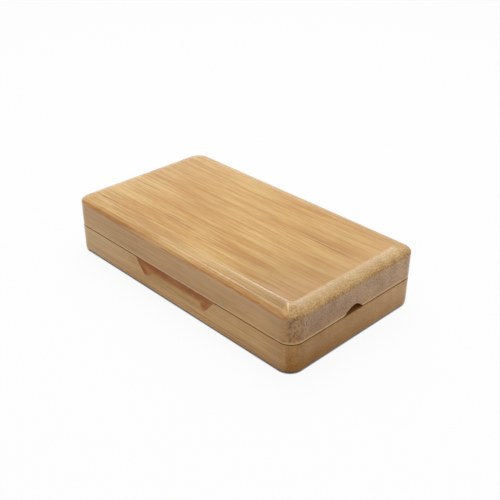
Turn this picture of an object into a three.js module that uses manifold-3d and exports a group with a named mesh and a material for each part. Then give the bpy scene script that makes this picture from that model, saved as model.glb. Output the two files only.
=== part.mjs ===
// Reed case of bamboo: a base and a hinged lid, each lined to hold three reeds on a glass plate.
// Lengths are in millimetres. X runs along the case, Y from its front to its back, Z up.
// The origin is the middle of the underside, on the surface that the case rests on.
import * as THREE from "three";
import { ConvexGeometry } from "three/addons/geometries/ConvexGeometry.js";
import { mergeVertices } from "three/addons/utils/BufferGeometryUtils.js";
import Module from "manifold-3d";

// Outer form
const caseLength = 108;
const caseWidth = 60;
const baseHeight = 10.5;
const lidHeight = 10.9;
const seamGap = 0.1;
const cornerRadius = 5.2;
const underRounding = 1.3;
const topRoundingInset = 6;
const topRoundingDrop = 1.9;
const cornerShrinkShare = 0.65;
const baseEdgeEase = 0.35;
const lidEdgeEase = 0.6;

// Hollow of each half
const sideWall = 4.5;
const endWall = 5;
const floorThickness = 2.6;
const lidTopThickness = 3;
const hollowCornerRadius = 3;
const overrun = 2;

// Finger scoop in the front of the base
const scoopCentre = 0.7;
const scoopTopLength = 39.6;
const scoopBottomLength = 31;
const scoopRootLength = 17;
const scoopHeight = 5.3;
const scoopReach = 3;

// Air vent along the lower edge of the lid's two end walls
const ventCentre = -1.3;
const ventHeight = 2.7;
const ventFrontReach = 5.6;
const ventBackReach = 4.9;
const ventFrontFullnessShare = 0.5;
const ventBackFullnessShare = 0.75;

// Lining: felt, glass and two ribs that part three lanes
const glueLine = 0.1;
const liningClearance = 0.3;
const liningCornerRadius = 2.7;
const feltThickness = 1;
const glassThickness = 2;
const glassEdgeSeam = 0.25;
const ribThickness = 1.3;
const ribTopRounding = 0.4;
const ribEndClearance = 0.2;
const laneCount = 3;

// Elastic band across the lanes, in a recess of the rim at each end
const bandEndDistance = 27;
const bandWidth = 6;
const bandThickness = 0.8;
const bandEdgeRounding = 0.3;
const bandRecessDepth = 1.4;
const bandRecessReach = 3;
const bandClearance = 0.3;
const bandSeatGap = 0.05;

// Tack that holds each end of the band
const tackHeadRadius = 1.3;
const tackHeadHeight = 0.35;
const tackShankRadius = 0.45;
const tackShankLength = 2.4;
const tackPointLength = 0.8;
const tackHoleClearance = 0.15;

// Magnets in the front rim
const magnetEndDistance = 16;
const magnetRadius = 1.5;
const magnetHeight = 2;
const magnetClearance = 0.12;

// Butt hinges let into the back rim
const hingeEndDistance = 16;
const hingeLength = 12;
const leafThickness = 0.6;
const leafDepth = 3.9;
const leafCornerRadius = 0.5;
const leafClearance = 0.15;
const knuckleRadius = 1.1;
const knuckleStandOff = 0.2;
const knuckleGap = 0.2;
const knuckleCount = 3;
const pinRadius = 0.5;
const pinClearance = 0.1;
const pinProjection = 0.3;
const pinChamfer = 0.15;

// Countersunk screws of the hinges
const screwSpacing = 7;
const screwHeadRadius = 1.15;
const screwHeadDepth = 0.5;
const screwShankRadius = 0.55;
const screwLength = 3.4;
const screwPointLength = 0.9;
const screwSinking = 0.05;
const screwClearance = 0.15;
const screwSlotWidth = 0.32;
const screwSlotDepth = 0.22;

// Fineness of curved faces
const cornerSteps = 8;
const roundingSteps = 10;
const easeSteps = 3;
const scoopSteps = 8;
const ventSteps = 14;
const roundSegments = 24;
const smallRoundSegments = 16;
const filletSegments = 4;

// Sizes that follow from the ones above
const hollowLength = caseLength - 2 * endWall;
const hollowWidth = caseWidth - 2 * sideWall;
const laneWidth = (hollowWidth - (laneCount - 1) * ribThickness) / laneCount;
const bandCentre = bandEndDistance - caseLength / 2;
const magnetSpacing = caseLength - 2 * magnetEndDistance;
const hingeSpacing = caseLength - 2 * hingeEndDistance;
const pinAxisY = caseWidth / 2 + knuckleRadius + knuckleStandOff;
const pinAxisZ = seamGap / 2;
const knuckleLength = (hingeLength - (knuckleCount - 1) * knuckleGap) / knuckleCount;
const quarterTurn = Math.PI / 2;

const wasm = await Module();
wasm.setup();

// Finishes
const finishes = {
  bamboo: { color: 0xcea474, roughness: 0.35, metalness: 0 },
  felt: { color: 0x3b2a22, roughness: 1, metalness: 0 },
  glass: { color: 0xdfeee6, roughness: 0.05, metalness: 0, transparent: true, opacity: 0.4 },
  elastic: { color: 0x1d1c1b, roughness: 0.85, metalness: 0 },
  brass: { color: 0xb08d4a, roughness: 0.35, metalness: 1 },
  steel: { color: 0xb9b8b4, roughness: 0.3, metalness: 1 },
};

// A named piece with its own material
function piece(name, geometry, finish) {
  const mesh = new THREE.Mesh(geometry, new THREE.MeshStandardMaterial(finishes[finish]));
  mesh.name = name;
  return mesh;
}

// A closed geometry as a solid that can be joined and cut
function solidOf(geometry) {
  const bare = geometry.clone();
  bare.deleteAttribute("normal");
  bare.deleteAttribute("uv");
  const merged = mergeVertices(bare);
  const mesh = new wasm.Mesh({
    numProp: 3,
    vertProperties: merged.attributes.position.array,
    triVerts: new Uint32Array(merged.index.array),
  });
  return new wasm.Manifold(mesh);
}

// A solid back as a geometry with flat faces
function geometryOf(solid) {
  const mesh = solid.getMesh();
  const indexed = new THREE.BufferGeometry();
  indexed.setAttribute("position", new THREE.BufferAttribute(mesh.vertProperties, 3));
  indexed.setIndex(new THREE.BufferAttribute(mesh.triVerts, 1));
  const flat = indexed.toNonIndexed();
  flat.computeVertexNormals();
  return flat;
}

// One geometry less all of the others
function cutAway(body, cutters) {
  let rest = solidOf(body);
  for (const cutter of cutters) {
    rest = rest.subtract(solidOf(cutter));
  }
  return geometryOf(rest);
}

// All geometries joined into one solid
function joined(parts) {
  let sum = solidOf(parts[0]);
  for (const part of parts.slice(1)) {
    sum = sum.add(solidOf(part));
  }
  return geometryOf(sum);
}

// Points of a rectangle with round corners, anticlockwise seen from above
function roundedOutline(length, width, radius) {
  const points = [];
  for (let corner = 0; corner < 4; corner += 1) {
    const sideX = corner === 0 || corner === 3 ? 1 : -1;
    const sideY = corner < 2 ? 1 : -1;
    for (let step = 0; step <= cornerSteps; step += 1) {
      const angle = (corner + step / cornerSteps) * quarterTurn;
      const x = sideX * (length / 2 - radius) + radius * Math.cos(angle);
      const y = sideY * (width / 2 - radius) + radius * Math.sin(angle);
      points.push(new THREE.Vector2(x, y));
    }
  }
  return points;
}

// A closed skin over a stack of outlines, lowest first, each with its height
function skinOver(levels) {
  const count = levels[0].outline.length;
  const positions = [];
  const index = [];
  for (const level of levels) {
    for (const point of level.outline) {
      positions.push(point.x, point.y, level.z);
    }
  }
  for (let level = 0; level < levels.length - 1; level += 1) {
    for (let i = 0; i < count; i += 1) {
      const near = level * count + i;
      const next = level * count + ((i + 1) % count);
      index.push(near, next, next + count);
      index.push(near, next + count, near + count);
    }
  }
  const top = (levels.length - 1) * count;
  for (let i = 1; i < count - 1; i += 1) {
    index.push(0, i + 1, i);
    index.push(top, top + i, top + i + 1);
  }
  const geometry = new THREE.BufferGeometry();
  geometry.setAttribute("position", new THREE.Float32BufferAttribute(positions, 3));
  geometry.setIndex(index);
  return geometry;
}

// A flat plate with round corners, its underside at the height z
function plate(length, width, thickness, radius, z) {
  const shape = new THREE.Shape(roundedOutline(length, width, radius));
  const geometry = new THREE.ExtrudeGeometry(shape, { depth: thickness, bevelEnabled: false });
  return geometry.translate(0, 0, z);
}

// A block given by its two ends on each axis
function block(x0, x1, y0, y1, z0, z1) {
  const geometry = new THREE.BoxGeometry(x1 - x0, y1 - y0, z1 - z0);
  return geometry.translate((x0 + x1) / 2, (y0 + y1) / 2, (z0 + z1) / 2);
}

// An upright round bar from z0 to z1
function uprightBar(radius, z0, z1, x, y, segments) {
  const geometry = new THREE.CylinderGeometry(radius, radius, z1 - z0, segments);
  geometry.rotateX(quarterTurn);
  return geometry.translate(x, y, (z0 + z1) / 2);
}

// A round bar along X, centred at x
function lyingBar(radius, length, x, y, z, segments) {
  const geometry = new THREE.CylinderGeometry(radius, radius, length, segments);
  geometry.rotateZ(quarterTurn);
  return geometry.translate(x, y, z);
}

// An upright turned piece from radius and height pairs that start and end on the axis
function turned(profile, x, y, z) {
  const points = profile.map(([radius, height]) => new THREE.Vector2(radius, height));
  const geometry = new THREE.LatheGeometry(points, smallRoundSegments);
  geometry.rotateX(quarterTurn);
  return geometry.translate(x, y, z);
}

// A section in Y and Z, swept along X from x0 to x1
function sweptAlongX(shape, x0, x1) {
  const geometry = new THREE.ExtrudeGeometry(shape, {
    depth: x1 - x0,
    bevelEnabled: false,
    curveSegments: filletSegments,
  });
  const turn = new THREE.Matrix4().makeBasis(
    new THREE.Vector3(0, 1, 0),
    new THREE.Vector3(0, 0, 1),
    new THREE.Vector3(1, 0, 0),
  );
  geometry.applyMatrix4(turn);
  return geometry.translate(x0, 0, 0);
}

// Each half is made in its own frame: its rim is the plane z = 0 and it lies below that plane.
// The lid is then turned over about Y, so what lies at x in the lid is made at minus x.

// Outer block of a half, rounded where its outer face meets the sides and eased at the rim
function outerBlock(height, faceInset, faceDrop, ease) {
  const levels = [];
  const addLevel = (inset, z) => {
    const radius = cornerRadius - inset * cornerShrinkShare;
    const outline = roundedOutline(caseLength - 2 * inset, caseWidth - 2 * inset, radius);
    levels.push({ outline, z });
  };
  for (let step = roundingSteps; step >= 0; step -= 1) {
    const angle = (step / roundingSteps) * quarterTurn;
    addLevel(faceInset * (1 - Math.cos(angle)), faceDrop * (1 - Math.sin(angle)) - height);
  }
  for (let step = 0; step <= easeSteps; step += 1) {
    const angle = (step / easeSteps) * quarterTurn;
    addLevel(ease * (1 - Math.cos(angle)), ease * (Math.sin(angle) - 1));
  }
  return skinOver(levels);
}

// Hollow that takes the lining
function hollowCutter(depth) {
  return plate(hollowLength, hollowWidth, depth + overrun, hollowCornerRadius, -depth);
}

// Recesses for the two ends of the elastic band
function bandRecessCutters(bandX) {
  const halfWidth = bandWidth / 2 + bandClearance;
  const reach = hollowWidth / 2 + bandRecessReach;
  return [block(bandX - halfWidth, bandX + halfWidth, -reach, reach, -bandRecessDepth, overrun)];
}

// Places of the two tacks, in the middle of each recess
function tackPlaces(bandX) {
  const y = hollowWidth / 2 + bandRecessReach / 2;
  return { front: [bandX, -y], back: [bandX, y] };
}

// Height of the band's upper face in a half's frame
const bandTop = bandSeatGap + bandThickness - bandRecessDepth;

// Holes for the shanks of the tacks
function tackHoleCutters(bandX) {
  const low = bandTop - tackShankLength - tackPointLength - tackHoleClearance;
  const radius = tackShankRadius + tackHoleClearance;
  return Object.values(tackPlaces(bandX)).map(([x, y]) =>
    uprightBar(radius, low, overrun, x, y, smallRoundSegments),
  );
}

// Places of the two magnets, in the middle of the front rim
const magnetY = sideWall / 2 - caseWidth / 2;
const magnetPlaces = { left: -magnetSpacing / 2, right: magnetSpacing / 2 };

// Pockets of the magnets
function magnetCutters() {
  const low = -magnetHeight - 2 * magnetClearance;
  return Object.values(magnetPlaces).map((x) =>
    uprightBar(magnetRadius + magnetClearance, low, overrun, x, magnetY, roundSegments),
  );
}

// Places of the hinges, and of the screws along each
const hingePlaces = { left: -hingeSpacing / 2, right: hingeSpacing / 2 };
const screwPlaces = { left: -screwSpacing / 2, right: screwSpacing / 2 };
const screwY = (caseWidth - leafDepth) / 2;

// Mortises of the hinge leaves, open at the back
function mortiseCutters() {
  const halfLength = hingeLength / 2 + leafClearance;
  const y0 = caseWidth / 2 - leafDepth - leafClearance;
  const y1 = caseWidth / 2 + overrun;
  const z0 = -leafThickness - glueLine;
  return Object.values(hingePlaces).map((x) =>
    block(x - halfLength, x + halfLength, y0, y1, z0, overrun),
  );
}

// Pilot holes of the hinge screws
function pilotCutters() {
  const holes = [];
  for (const hingeX of Object.values(hingePlaces)) {
    for (const screwX of Object.values(screwPlaces)) {
      const low = -screwLength - screwClearance - screwSinking;
      const radius = screwShankRadius + screwClearance;
      holes.push(uprightBar(radius, low, 0, hingeX + screwX, screwY, smallRoundSegments));
    }
  }
  return holes;
}

// Scoop for a fingertip: a ramp that runs down and out to the front, between curved ends
function scoopCutter() {
  const face = -caseWidth / 2;
  const points = [];
  for (const side of [-1, 1]) {
    const bottomX = scoopCentre + (side * scoopBottomLength) / 2;
    points.push(new THREE.Vector3(bottomX, face, -scoopHeight));
    points.push(new THREE.Vector3(bottomX, face - overrun, -scoopHeight));
    const topX = scoopCentre + (side * scoopTopLength) / 2;
    points.push(new THREE.Vector3(topX, face - overrun, 0));
    points.push(new THREE.Vector3(topX, face - overrun, overrun));
    for (let step = 0; step <= scoopSteps; step += 1) {
      const angle = (step / scoopSteps) * quarterTurn;
      const curve = ((scoopTopLength - scoopRootLength) / 2) * Math.cos(angle);
      const x = scoopCentre + side * (scoopRootLength / 2 + curve);
      const y = face + scoopReach * Math.sin(angle);
      points.push(new THREE.Vector3(x, y, 0));
      points.push(new THREE.Vector3(x, y, overrun));
    }
  }
  return new ConvexGeometry(points);
}

// Vent: a low bell-shaped arch, milled through the rim of both end walls
function ventCutter() {
  const shape = new THREE.Shape();
  shape.moveTo(ventCentre - ventFrontReach, overrun);
  for (let step = -ventSteps; step <= ventSteps; step += 1) {
    const share = step / ventSteps;
    const reach = share < 0 ? ventFrontReach : ventBackReach;
    const fullness = share < 0 ? ventFrontFullnessShare : ventBackFullnessShare;
    const bell = Math.max(0, (1 + Math.cos(share * Math.PI)) / 2) ** fullness;
    shape.lineTo(ventCentre + share * reach, -ventHeight * bell);
  }
  shape.lineTo(ventCentre + ventBackReach, overrun);
  return sweptAlongX(shape, -caseLength / 2 - overrun, caseLength / 2 + overrun);
}

// Cuts that both shells share
function sharedCutters(bandX) {
  return [
    ...bandRecessCutters(bandX),
    ...tackHoleCutters(bandX),
    ...magnetCutters(),
    ...mortiseCutters(),
    ...pilotCutters(),
  ];
}

// Shell of the base
function baseShell() {
  const body = outerBlock(baseHeight, underRounding, underRounding, baseEdgeEase);
  const hollow = hollowCutter(baseHeight - floorThickness);
  return cutAway(body, [hollow, scoopCutter(), ...sharedCutters(bandCentre)]);
}

// Shell of the lid
function lidShell() {
  const body = outerBlock(lidHeight, topRoundingInset, topRoundingDrop, lidEdgeEase);
  const hollow = hollowCutter(lidHeight - lidTopThickness);
  return cutAway(body, [hollow, ventCutter(), ...sharedCutters(-bandCentre)]);
}

// Heights of the lining's layers in a half's frame, from its floor up to the rim
function liningHeights(floor) {
  const felt = floor + glueLine;
  const glass = felt + feltThickness + glueLine;
  const rib = glass + glassThickness + glueLine;
  const ribTop = -bandRecessDepth + bandSeatGap - bandClearance;
  return { felt, glass, rib, ribTop };
}

const liningLength = hollowLength - 2 * liningClearance;
const liningWidth = hollowWidth - 2 * liningClearance;

// Felt pad under the glass
function feltPad(z) {
  return plate(liningLength, liningWidth, feltThickness, liningCornerRadius, z);
}

// Glass plate with seamed edges
function glassPlate(z) {
  const level = (inset, height) => ({
    outline: roundedOutline(liningLength - 2 * inset, liningWidth - 2 * inset, liningCornerRadius),
    z: z + height,
  });
  return skinOver([
    level(glassEdgeSeam, 0),
    level(0, glassEdgeSeam),
    level(0, glassThickness - glassEdgeSeam),
    level(glassEdgeSeam, glassThickness),
  ]);
}

// Rib between two lanes, with its free edge rounded
function laneRib(y, z, ribTop) {
  const half = ribThickness / 2;
  const shape = new THREE.Shape();
  shape.moveTo(y - half, z);
  shape.lineTo(y + half, z);
  shape.lineTo(y + half, ribTop - ribTopRounding);
  shape.quadraticCurveTo(y + half, ribTop, y + half - ribTopRounding, ribTop);
  shape.lineTo(y - half + ribTopRounding, ribTop);
  shape.quadraticCurveTo(y - half, ribTop, y - half, ribTop - ribTopRounding);
  shape.closePath();
  const reach = hollowLength / 2 - ribEndClearance;
  return sweptAlongX(shape, -reach, reach);
}

// Elastic band, straight over the ribs from one recess to the other
function elasticBand(bandX) {
  const halfWidth = bandWidth / 2;
  const reach = hollowWidth / 2 + bandRecessReach - bandClearance;
  const low = bandTop - bandThickness;
  const shape = new THREE.Shape();
  shape.moveTo(-halfWidth + bandEdgeRounding, low);
  shape.lineTo(halfWidth - bandEdgeRounding, low);
  shape.quadraticCurveTo(halfWidth, low, halfWidth, low + bandEdgeRounding);
  shape.lineTo(halfWidth, bandTop - bandEdgeRounding);
  shape.quadraticCurveTo(halfWidth, bandTop, halfWidth - bandEdgeRounding, bandTop);
  shape.lineTo(-halfWidth + bandEdgeRounding, bandTop);
  shape.quadraticCurveTo(-halfWidth, bandTop, -halfWidth, bandTop - bandEdgeRounding);
  shape.lineTo(-halfWidth, low + bandEdgeRounding);
  shape.quadraticCurveTo(-halfWidth, low, -halfWidth + bandEdgeRounding, low);
  const strap = sweptAlongX(shape, -reach, reach).rotateZ(quarterTurn).translate(bandX, 0, 0);
  return cutAway(strap, tackHoleCutters(bandX));
}

// Tack with a low domed head
function tack(x, y) {
  const low = -tackShankLength - tackPointLength;
  const profile = [
    [0, low],
    [tackShankRadius, -tackShankLength],
    [tackShankRadius, bandSeatGap],
    [tackHeadRadius, bandSeatGap],
    [tackHeadRadius, bandSeatGap + tackHeadHeight / 3],
    [(tackHeadRadius * 2) / 3, bandSeatGap + (tackHeadHeight * 5) / 6],
    [0, bandSeatGap + tackHeadHeight],
  ];
  return turned(profile, x, y, bandTop);
}

// Magnet disc just under the rim
function magnet(x) {
  const low = -magnetHeight - magnetClearance;
  return uprightBar(magnetRadius, low, -magnetClearance, x, magnetY, roundSegments);
}

// Countersunk screw with a slotted head
function screw(x) {
  const profile = [
    [0, -screwLength],
    [screwShankRadius, screwPointLength - screwLength],
    [screwShankRadius, -screwHeadDepth],
    [screwHeadRadius, 0],
    [0, 0],
  ];
  const body = turned(profile, x, screwY, -screwSinking);
  const halfSlot = screwSlotWidth / 2;
  const slot = block(
    x - screwHeadRadius - overrun,
    x + screwHeadRadius + overrun,
    screwY - halfSlot,
    screwY + halfSlot,
    -screwSinking - screwSlotDepth,
    overrun,
  );
  return cutAway(body, [slot]);
}

// Countersink in a leaf, wider than its screw by the screw's clearance
function countersinkCutter(x) {
  const headRadius = screwHeadRadius + screwClearance;
  const shankRadius = screwShankRadius + screwClearance;
  const depth = screwHeadDepth + screwSinking;
  const profile = [
    [0, -leafThickness - overrun],
    [shankRadius, -leafThickness - overrun],
    [shankRadius, -depth],
    [headRadius, 0],
    [headRadius, overrun],
    [0, overrun],
  ];
  return turned(profile, x, screwY, 0);
}

// Hinge leaf in its mortise, with the knuckles whose places along the pin are given
function hingeLeaf(hingeX, knucklePlaces) {
  const back = caseWidth / 2;
  const flat = plate(hingeLength, leafDepth, leafThickness, leafCornerRadius, -leafThickness);
  flat.translate(hingeX, back - leafDepth / 2, 0);
  const parts = [flat];
  for (const place of knucklePlaces) {
    const middle = (knuckleCount - 1) / 2;
    const x = hingeX + (place - middle) * (knuckleLength + knuckleGap);
    const half = knuckleLength / 2;
    parts.push(block(x - half, x + half, back - leafDepth / 2, pinAxisY, -leafThickness, 0));
    parts.push(lyingBar(knuckleRadius, knuckleLength, x, pinAxisY, pinAxisZ, roundSegments));
  }
  const boreLength = hingeLength + 2 * overrun;
  const bore = lyingBar(
    pinRadius + pinClearance,
    boreLength,
    hingeX,
    pinAxisY,
    pinAxisZ,
    roundSegments,
  );
  const countersinks = Object.values(screwPlaces).map((x) => countersinkCutter(hingeX + x));
  return cutAway(joined(parts), [bore, ...countersinks]);
}

// Hinge pin with eased ends
function hingePin(hingeX) {
  const half = hingeLength / 2 + pinProjection;
  const points = [
    new THREE.Vector2(0, -half),
    new THREE.Vector2(pinRadius - pinChamfer, -half),
    new THREE.Vector2(pinRadius, pinChamfer - half),
    new THREE.Vector2(pinRadius, half - pinChamfer),
    new THREE.Vector2(pinRadius - pinChamfer, half),
    new THREE.Vector2(0, half),
  ];
  const geometry = new THREE.LatheGeometry(points, smallRoundSegments);
  geometry.rotateZ(-quarterTurn);
  return geometry.translate(hingeX, pinAxisY, pinAxisZ);
}

// Everything in a half but its shell: lining, band, tacks, magnets, leaves and screws
function fillHalf(group, half, floor, bandX, mirrored, knucklePlaces) {
  const heights = liningHeights(floor);
  const ribY = (laneWidth + ribThickness) / 2;
  const worldSide = (side) => (mirrored ? { left: "right", right: "left" }[side] : side);
  group.add(piece(`${half}_felt_pad`, feltPad(heights.felt), "felt"));
  group.add(piece(`${half}_glass_plate`, glassPlate(heights.glass), "glass"));
  group.add(piece(`${half}_rib_front`, laneRib(-ribY, heights.rib, heights.ribTop), "bamboo"));
  group.add(piece(`${half}_rib_back`, laneRib(ribY, heights.rib, heights.ribTop), "bamboo"));
  group.add(piece(`${half}_elastic_band`, elasticBand(bandX), "elastic"));
  for (const [side, [x, y]] of Object.entries(tackPlaces(bandX))) {
    group.add(piece(`${half}_tack_${side}`, tack(x, y), "brass"));
  }
  for (const [side, x] of Object.entries(magnetPlaces)) {
    group.add(piece(`${half}_magnet_${worldSide(side)}`, magnet(x), "steel"));
  }
  for (const [side, hingeX] of Object.entries(hingePlaces)) {
    const hinge = `${worldSide(side)}_hinge_${half}`;
    group.add(piece(`${hinge}_leaf`, hingeLeaf(hingeX, knucklePlaces), "brass"));
    for (const [screwSide, screwX] of Object.entries(screwPlaces)) {
      const name = `${hinge}_screw_${worldSide(screwSide)}`;
      group.add(piece(name, screw(hingeX + screwX), "brass"));
    }
  }
}

// Base: its rim is at the base's height
const base = new THREE.Group();
base.position.z = baseHeight;
base.add(piece("base_shell", baseShell(), "bamboo"));
fillHalf(base, "base", floorThickness - baseHeight, bandCentre, false, [0, 2]);
for (const [side, hingeX] of Object.entries(hingePlaces)) {
  base.add(piece(`${side}_hinge_pin`, hingePin(hingeX), "steel"));
}

// Lid: turned over, with its rim a seam's gap above the rim of the base
const lid = new THREE.Group();
lid.position.z = baseHeight + seamGap;
lid.rotation.y = Math.PI;
lid.add(piece("lid_shell", lidShell(), "bamboo"));
fillHalf(lid, "lid", lidTopThickness - lidHeight, -bandCentre, true, [1]);

const reedCase = new THREE.Group();
reedCase.add(base, lid);
export default reedCase;
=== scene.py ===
"""A flat reed case of lacquered bamboo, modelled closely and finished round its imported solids.

Shapes are worked out in millimetres and stored in metres. X runs along the case, Y from its front
with the finger scoop to its hinged back, and Z up.
"""
import logging
import math
from collections.abc import Iterable, Sequence
from dataclasses import dataclass
from enum import Enum
from typing import Union

import bmesh
import bpy
from mathutils import Matrix, Vector, noise


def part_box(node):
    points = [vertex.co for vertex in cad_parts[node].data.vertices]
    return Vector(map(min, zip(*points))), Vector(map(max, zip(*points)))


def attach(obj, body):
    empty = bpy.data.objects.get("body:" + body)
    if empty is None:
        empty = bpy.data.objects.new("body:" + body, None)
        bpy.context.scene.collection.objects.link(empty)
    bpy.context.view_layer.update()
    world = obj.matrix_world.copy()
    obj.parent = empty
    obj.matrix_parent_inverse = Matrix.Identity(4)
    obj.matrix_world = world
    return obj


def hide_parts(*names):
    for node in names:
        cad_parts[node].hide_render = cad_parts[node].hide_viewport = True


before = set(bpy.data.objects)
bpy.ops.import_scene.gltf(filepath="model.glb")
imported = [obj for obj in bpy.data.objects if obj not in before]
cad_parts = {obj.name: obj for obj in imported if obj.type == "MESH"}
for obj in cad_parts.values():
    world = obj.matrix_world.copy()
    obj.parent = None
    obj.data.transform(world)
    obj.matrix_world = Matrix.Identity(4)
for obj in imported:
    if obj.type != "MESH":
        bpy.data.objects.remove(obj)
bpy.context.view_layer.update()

log = logging.getLogger("reed_case")

MM = 0.001
QUARTER = math.pi / 2
ORIGIN = Vector((0, 0, 0))
OVERRUN = 2.0  # how far a cutter runs past what it cuts
MERGED = 0.002  # points closer than this become one
TINY = 1e-5  # as good as zero
POLE_SHARE = 0.02  # a turned tip ends in a flat of this share of the largest radius
BASE_RIM = 10.5
LID_RIM = 10.6
WHITE = (1.0, 1.0, 1.0, 1.0)
LOOK_AT = (4.959, 1.280, 10.75)

Colour = tuple[float, float, float, float]
Display = tuple[int, int, int]
Outline = list[tuple[float, float]]
Step = tuple[float, ...]
Solid = bmesh.types.BMesh
Socket = bpy.types.NodeSocket
Material = bpy.types.Material
Shown = bpy.types.Object
Value = Union[float, Colour, Sequence[float], Socket]


class Half(Enum):
    """The two halves of the case, by the body that each rides on."""

    BASE = "base"
    LID = "lid"

    @property
    def outward(self) -> int:
        """Which way along Z this half's outer face lies from its rim."""
        return 1 if self is Half.LID else -1

    def node(self, piece: str) -> str:
        """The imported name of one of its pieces."""
        return f"{self.value}_{piece}"


class Side(Enum):
    """The two sides, seen from the front."""

    LEFT = "left"
    RIGHT = "right"


class Place(Enum):
    """The two long walls."""

    FRONT = "front"
    BACK = "back"


class Axis(Enum):
    """The axes of the case."""

    ALONG = "x"
    ACROSS = "y"
    UPRIGHT = "z"


@dataclass(frozen=True)
class Box:
    """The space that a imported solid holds, in millimetres."""

    low: Vector
    high: Vector

    @classmethod
    def of(cls, node: str) -> "Box":
        """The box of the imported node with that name."""
        low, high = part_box(node)
        return cls(low / MM, high / MM)

    @property
    def size(self) -> Vector:
        """Its length on each axis."""
        return self.high - self.low

    @property
    def centre(self) -> Vector:
        """Its middle."""
        return (self.low + self.high) / 2

    @property
    def stem(self) -> Vector:
        """Its middle seen from above, at height 0."""
        return Vector((self.centre.x, self.centre.y, 0))

    def levels(self, half: Half) -> tuple[float, float]:
        """Its height on the side of a half's rim, and on the side away from it."""
        return (self.high.z, self.low.z) if half is Half.BASE else (self.low.z, self.high.z)


# Solids


def quarter(steps: int) -> list[tuple[float, float]]:
    """Cosine and sine at even steps from 0 to a right angle."""
    angles = [QUARTER * step / steps for step in range(steps + 1)]
    return [(math.cos(angle), math.sin(angle)) for angle in angles]


def rounded_outline(length: float, width: float, radius: float, steps: int) -> Outline:
    """Points of a rectangle with round corners, anticlockwise seen from above.

    Args:
        length, width: size along X and Y.
        radius: of the corners.
        steps: straight stretches in each corner.

    Returns:
        The points, round the middle of the rectangle.
    """
    points = []
    for corner in range(4):
        side_x = 1 if corner in (0, 3) else -1
        side_y = 1 if corner < 2 else -1
        for step in range(steps + 1):
            angle = (corner + step / steps) * QUARTER
            x = side_x * (length / 2 - radius) + radius * math.cos(angle)
            y = side_y * (width / 2 - radius) + radius * math.sin(angle)
            points.append((x, y))
    return points


def loft(rings: Sequence[Sequence[Vector]]) -> Solid:
    """A closed skin over rings of as many points each.

    Args:
        rings: the rings in order, each closed.

    Returns:
        The skin, capped by the first and the last ring.
    """
    solid = bmesh.new()
    rows = [[solid.verts.new(point) for point in ring] for ring in rings]
    count = len(rows[0])
    for near, far in zip(rows, rows[1:]):
        for i in range(count):
            j = (i + 1) % count
            solid.faces.new((near[i], near[j], far[j], far[i]))
    solid.faces.new(list(reversed(rows[0])))
    solid.faces.new(rows[-1])
    bmesh.ops.recalc_face_normals(solid, faces=solid.faces)
    return solid


def stack(levels: Sequence[tuple[Outline, float]], centre: Vector = ORIGIN) -> Solid:
    """A closed skin over flat outlines at their heights, round the X and Y of a centre."""
    return loft([[Vector((centre.x + x, centre.y + y, z)) for x, y in outline]
                 for outline, z in levels])


def drawn(section: Outline, start: float, end: float) -> Solid:
    """A section in Y and Z drawn along X from start to end."""
    return loft([[Vector((x, y, z)) for y, z in section] for x in (start, end)])


def block(low: Sequence[float], high: Sequence[float]) -> Solid:
    """A block.

    Args:
        low, high: two opposite corners, in any order.

    Returns:
        The block.
    """
    (x0, x1), (y0, y1), (z0, z1) = (sorted(pair) for pair in zip(low, high))
    outline = [(x0, y0), (x1, y0), (x1, y1), (x0, y1)]
    return stack([(outline, z0), (outline, z1)])


def turned(profile: Sequence[tuple[float, float]], centre: Vector, axis: Axis, segments: int) -> Solid:
    """A turned solid.

    Args:
        profile: radius and place along the axis, in order. A radius of zero becomes a small flat.
        centre: the point that places along the axis are measured from.
        axis: what it is turned about: along or upright.
        segments: stretches round it.

    Returns:
        The closed solid.
    """
    least = POLE_SHARE * max(radius for radius, _ in profile)
    rings = []
    for radius, place in profile:
        ring = []
        for i in range(segments):
            angle = 2 * math.pi * i / segments
            across = max(radius, least) * math.cos(angle)
            up = max(radius, least) * math.sin(angle)
            local = (across, up, place) if axis is Axis.UPRIGHT else (place, across, up)
            ring.append(centre + Vector(local))
        rings.append(ring)
    return loft(rings)


def bar(radius: float, start: float, end: float, centre: Vector, axis: Axis, segments: int) -> Solid:
    """A round bar that runs from start to end along its axis, measured from centre."""
    return turned([(radius, start), (radius, end)], centre, axis, segments)


def hull(points: Iterable[Sequence[float]]) -> Solid:
    """The convex solid round some points.

    Args:
        points: at least four that don't lie in one plane.

    Returns:
        The closed hull.
    """
    solid = bmesh.new()
    for point in points:
        solid.verts.new(point)
    bmesh.ops.remove_doubles(solid, verts=solid.verts, dist=TINY)
    made = bmesh.ops.convex_hull(solid, input=solid.verts)
    inside = {item for item in made["geom_interior"] if isinstance(item, bmesh.types.BMVert)}
    bmesh.ops.delete(solid, geom=list(inside), context="VERTS")
    bmesh.ops.recalc_face_normals(solid, faces=solid.faces)
    return solid


def linked(name: str, data: bpy.types.ID) -> Shown:
    """An object with some data, linked to the scene.

    Args:
        name: the object's name.
        data: its mesh, lamp or camera.

    Returns:
        The object.
    """
    made = bpy.data.objects.new(name, data)
    bpy.context.scene.collection.objects.link(made)
    return made


def meshed(name: str, solid: Solid) -> bpy.types.Mesh:
    """A solid as a mesh.

    Args:
        name: the mesh's name.
        solid: the shape, freed here.

    Returns:
        The mesh.
    """
    mesh = bpy.data.meshes.new(name)
    solid.to_mesh(mesh)
    solid.free()
    return mesh


class Joining(Enum):
    """What a boolean step does with the other solid."""

    CUT = "DIFFERENCE"
    UNITE = "UNION"


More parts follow.
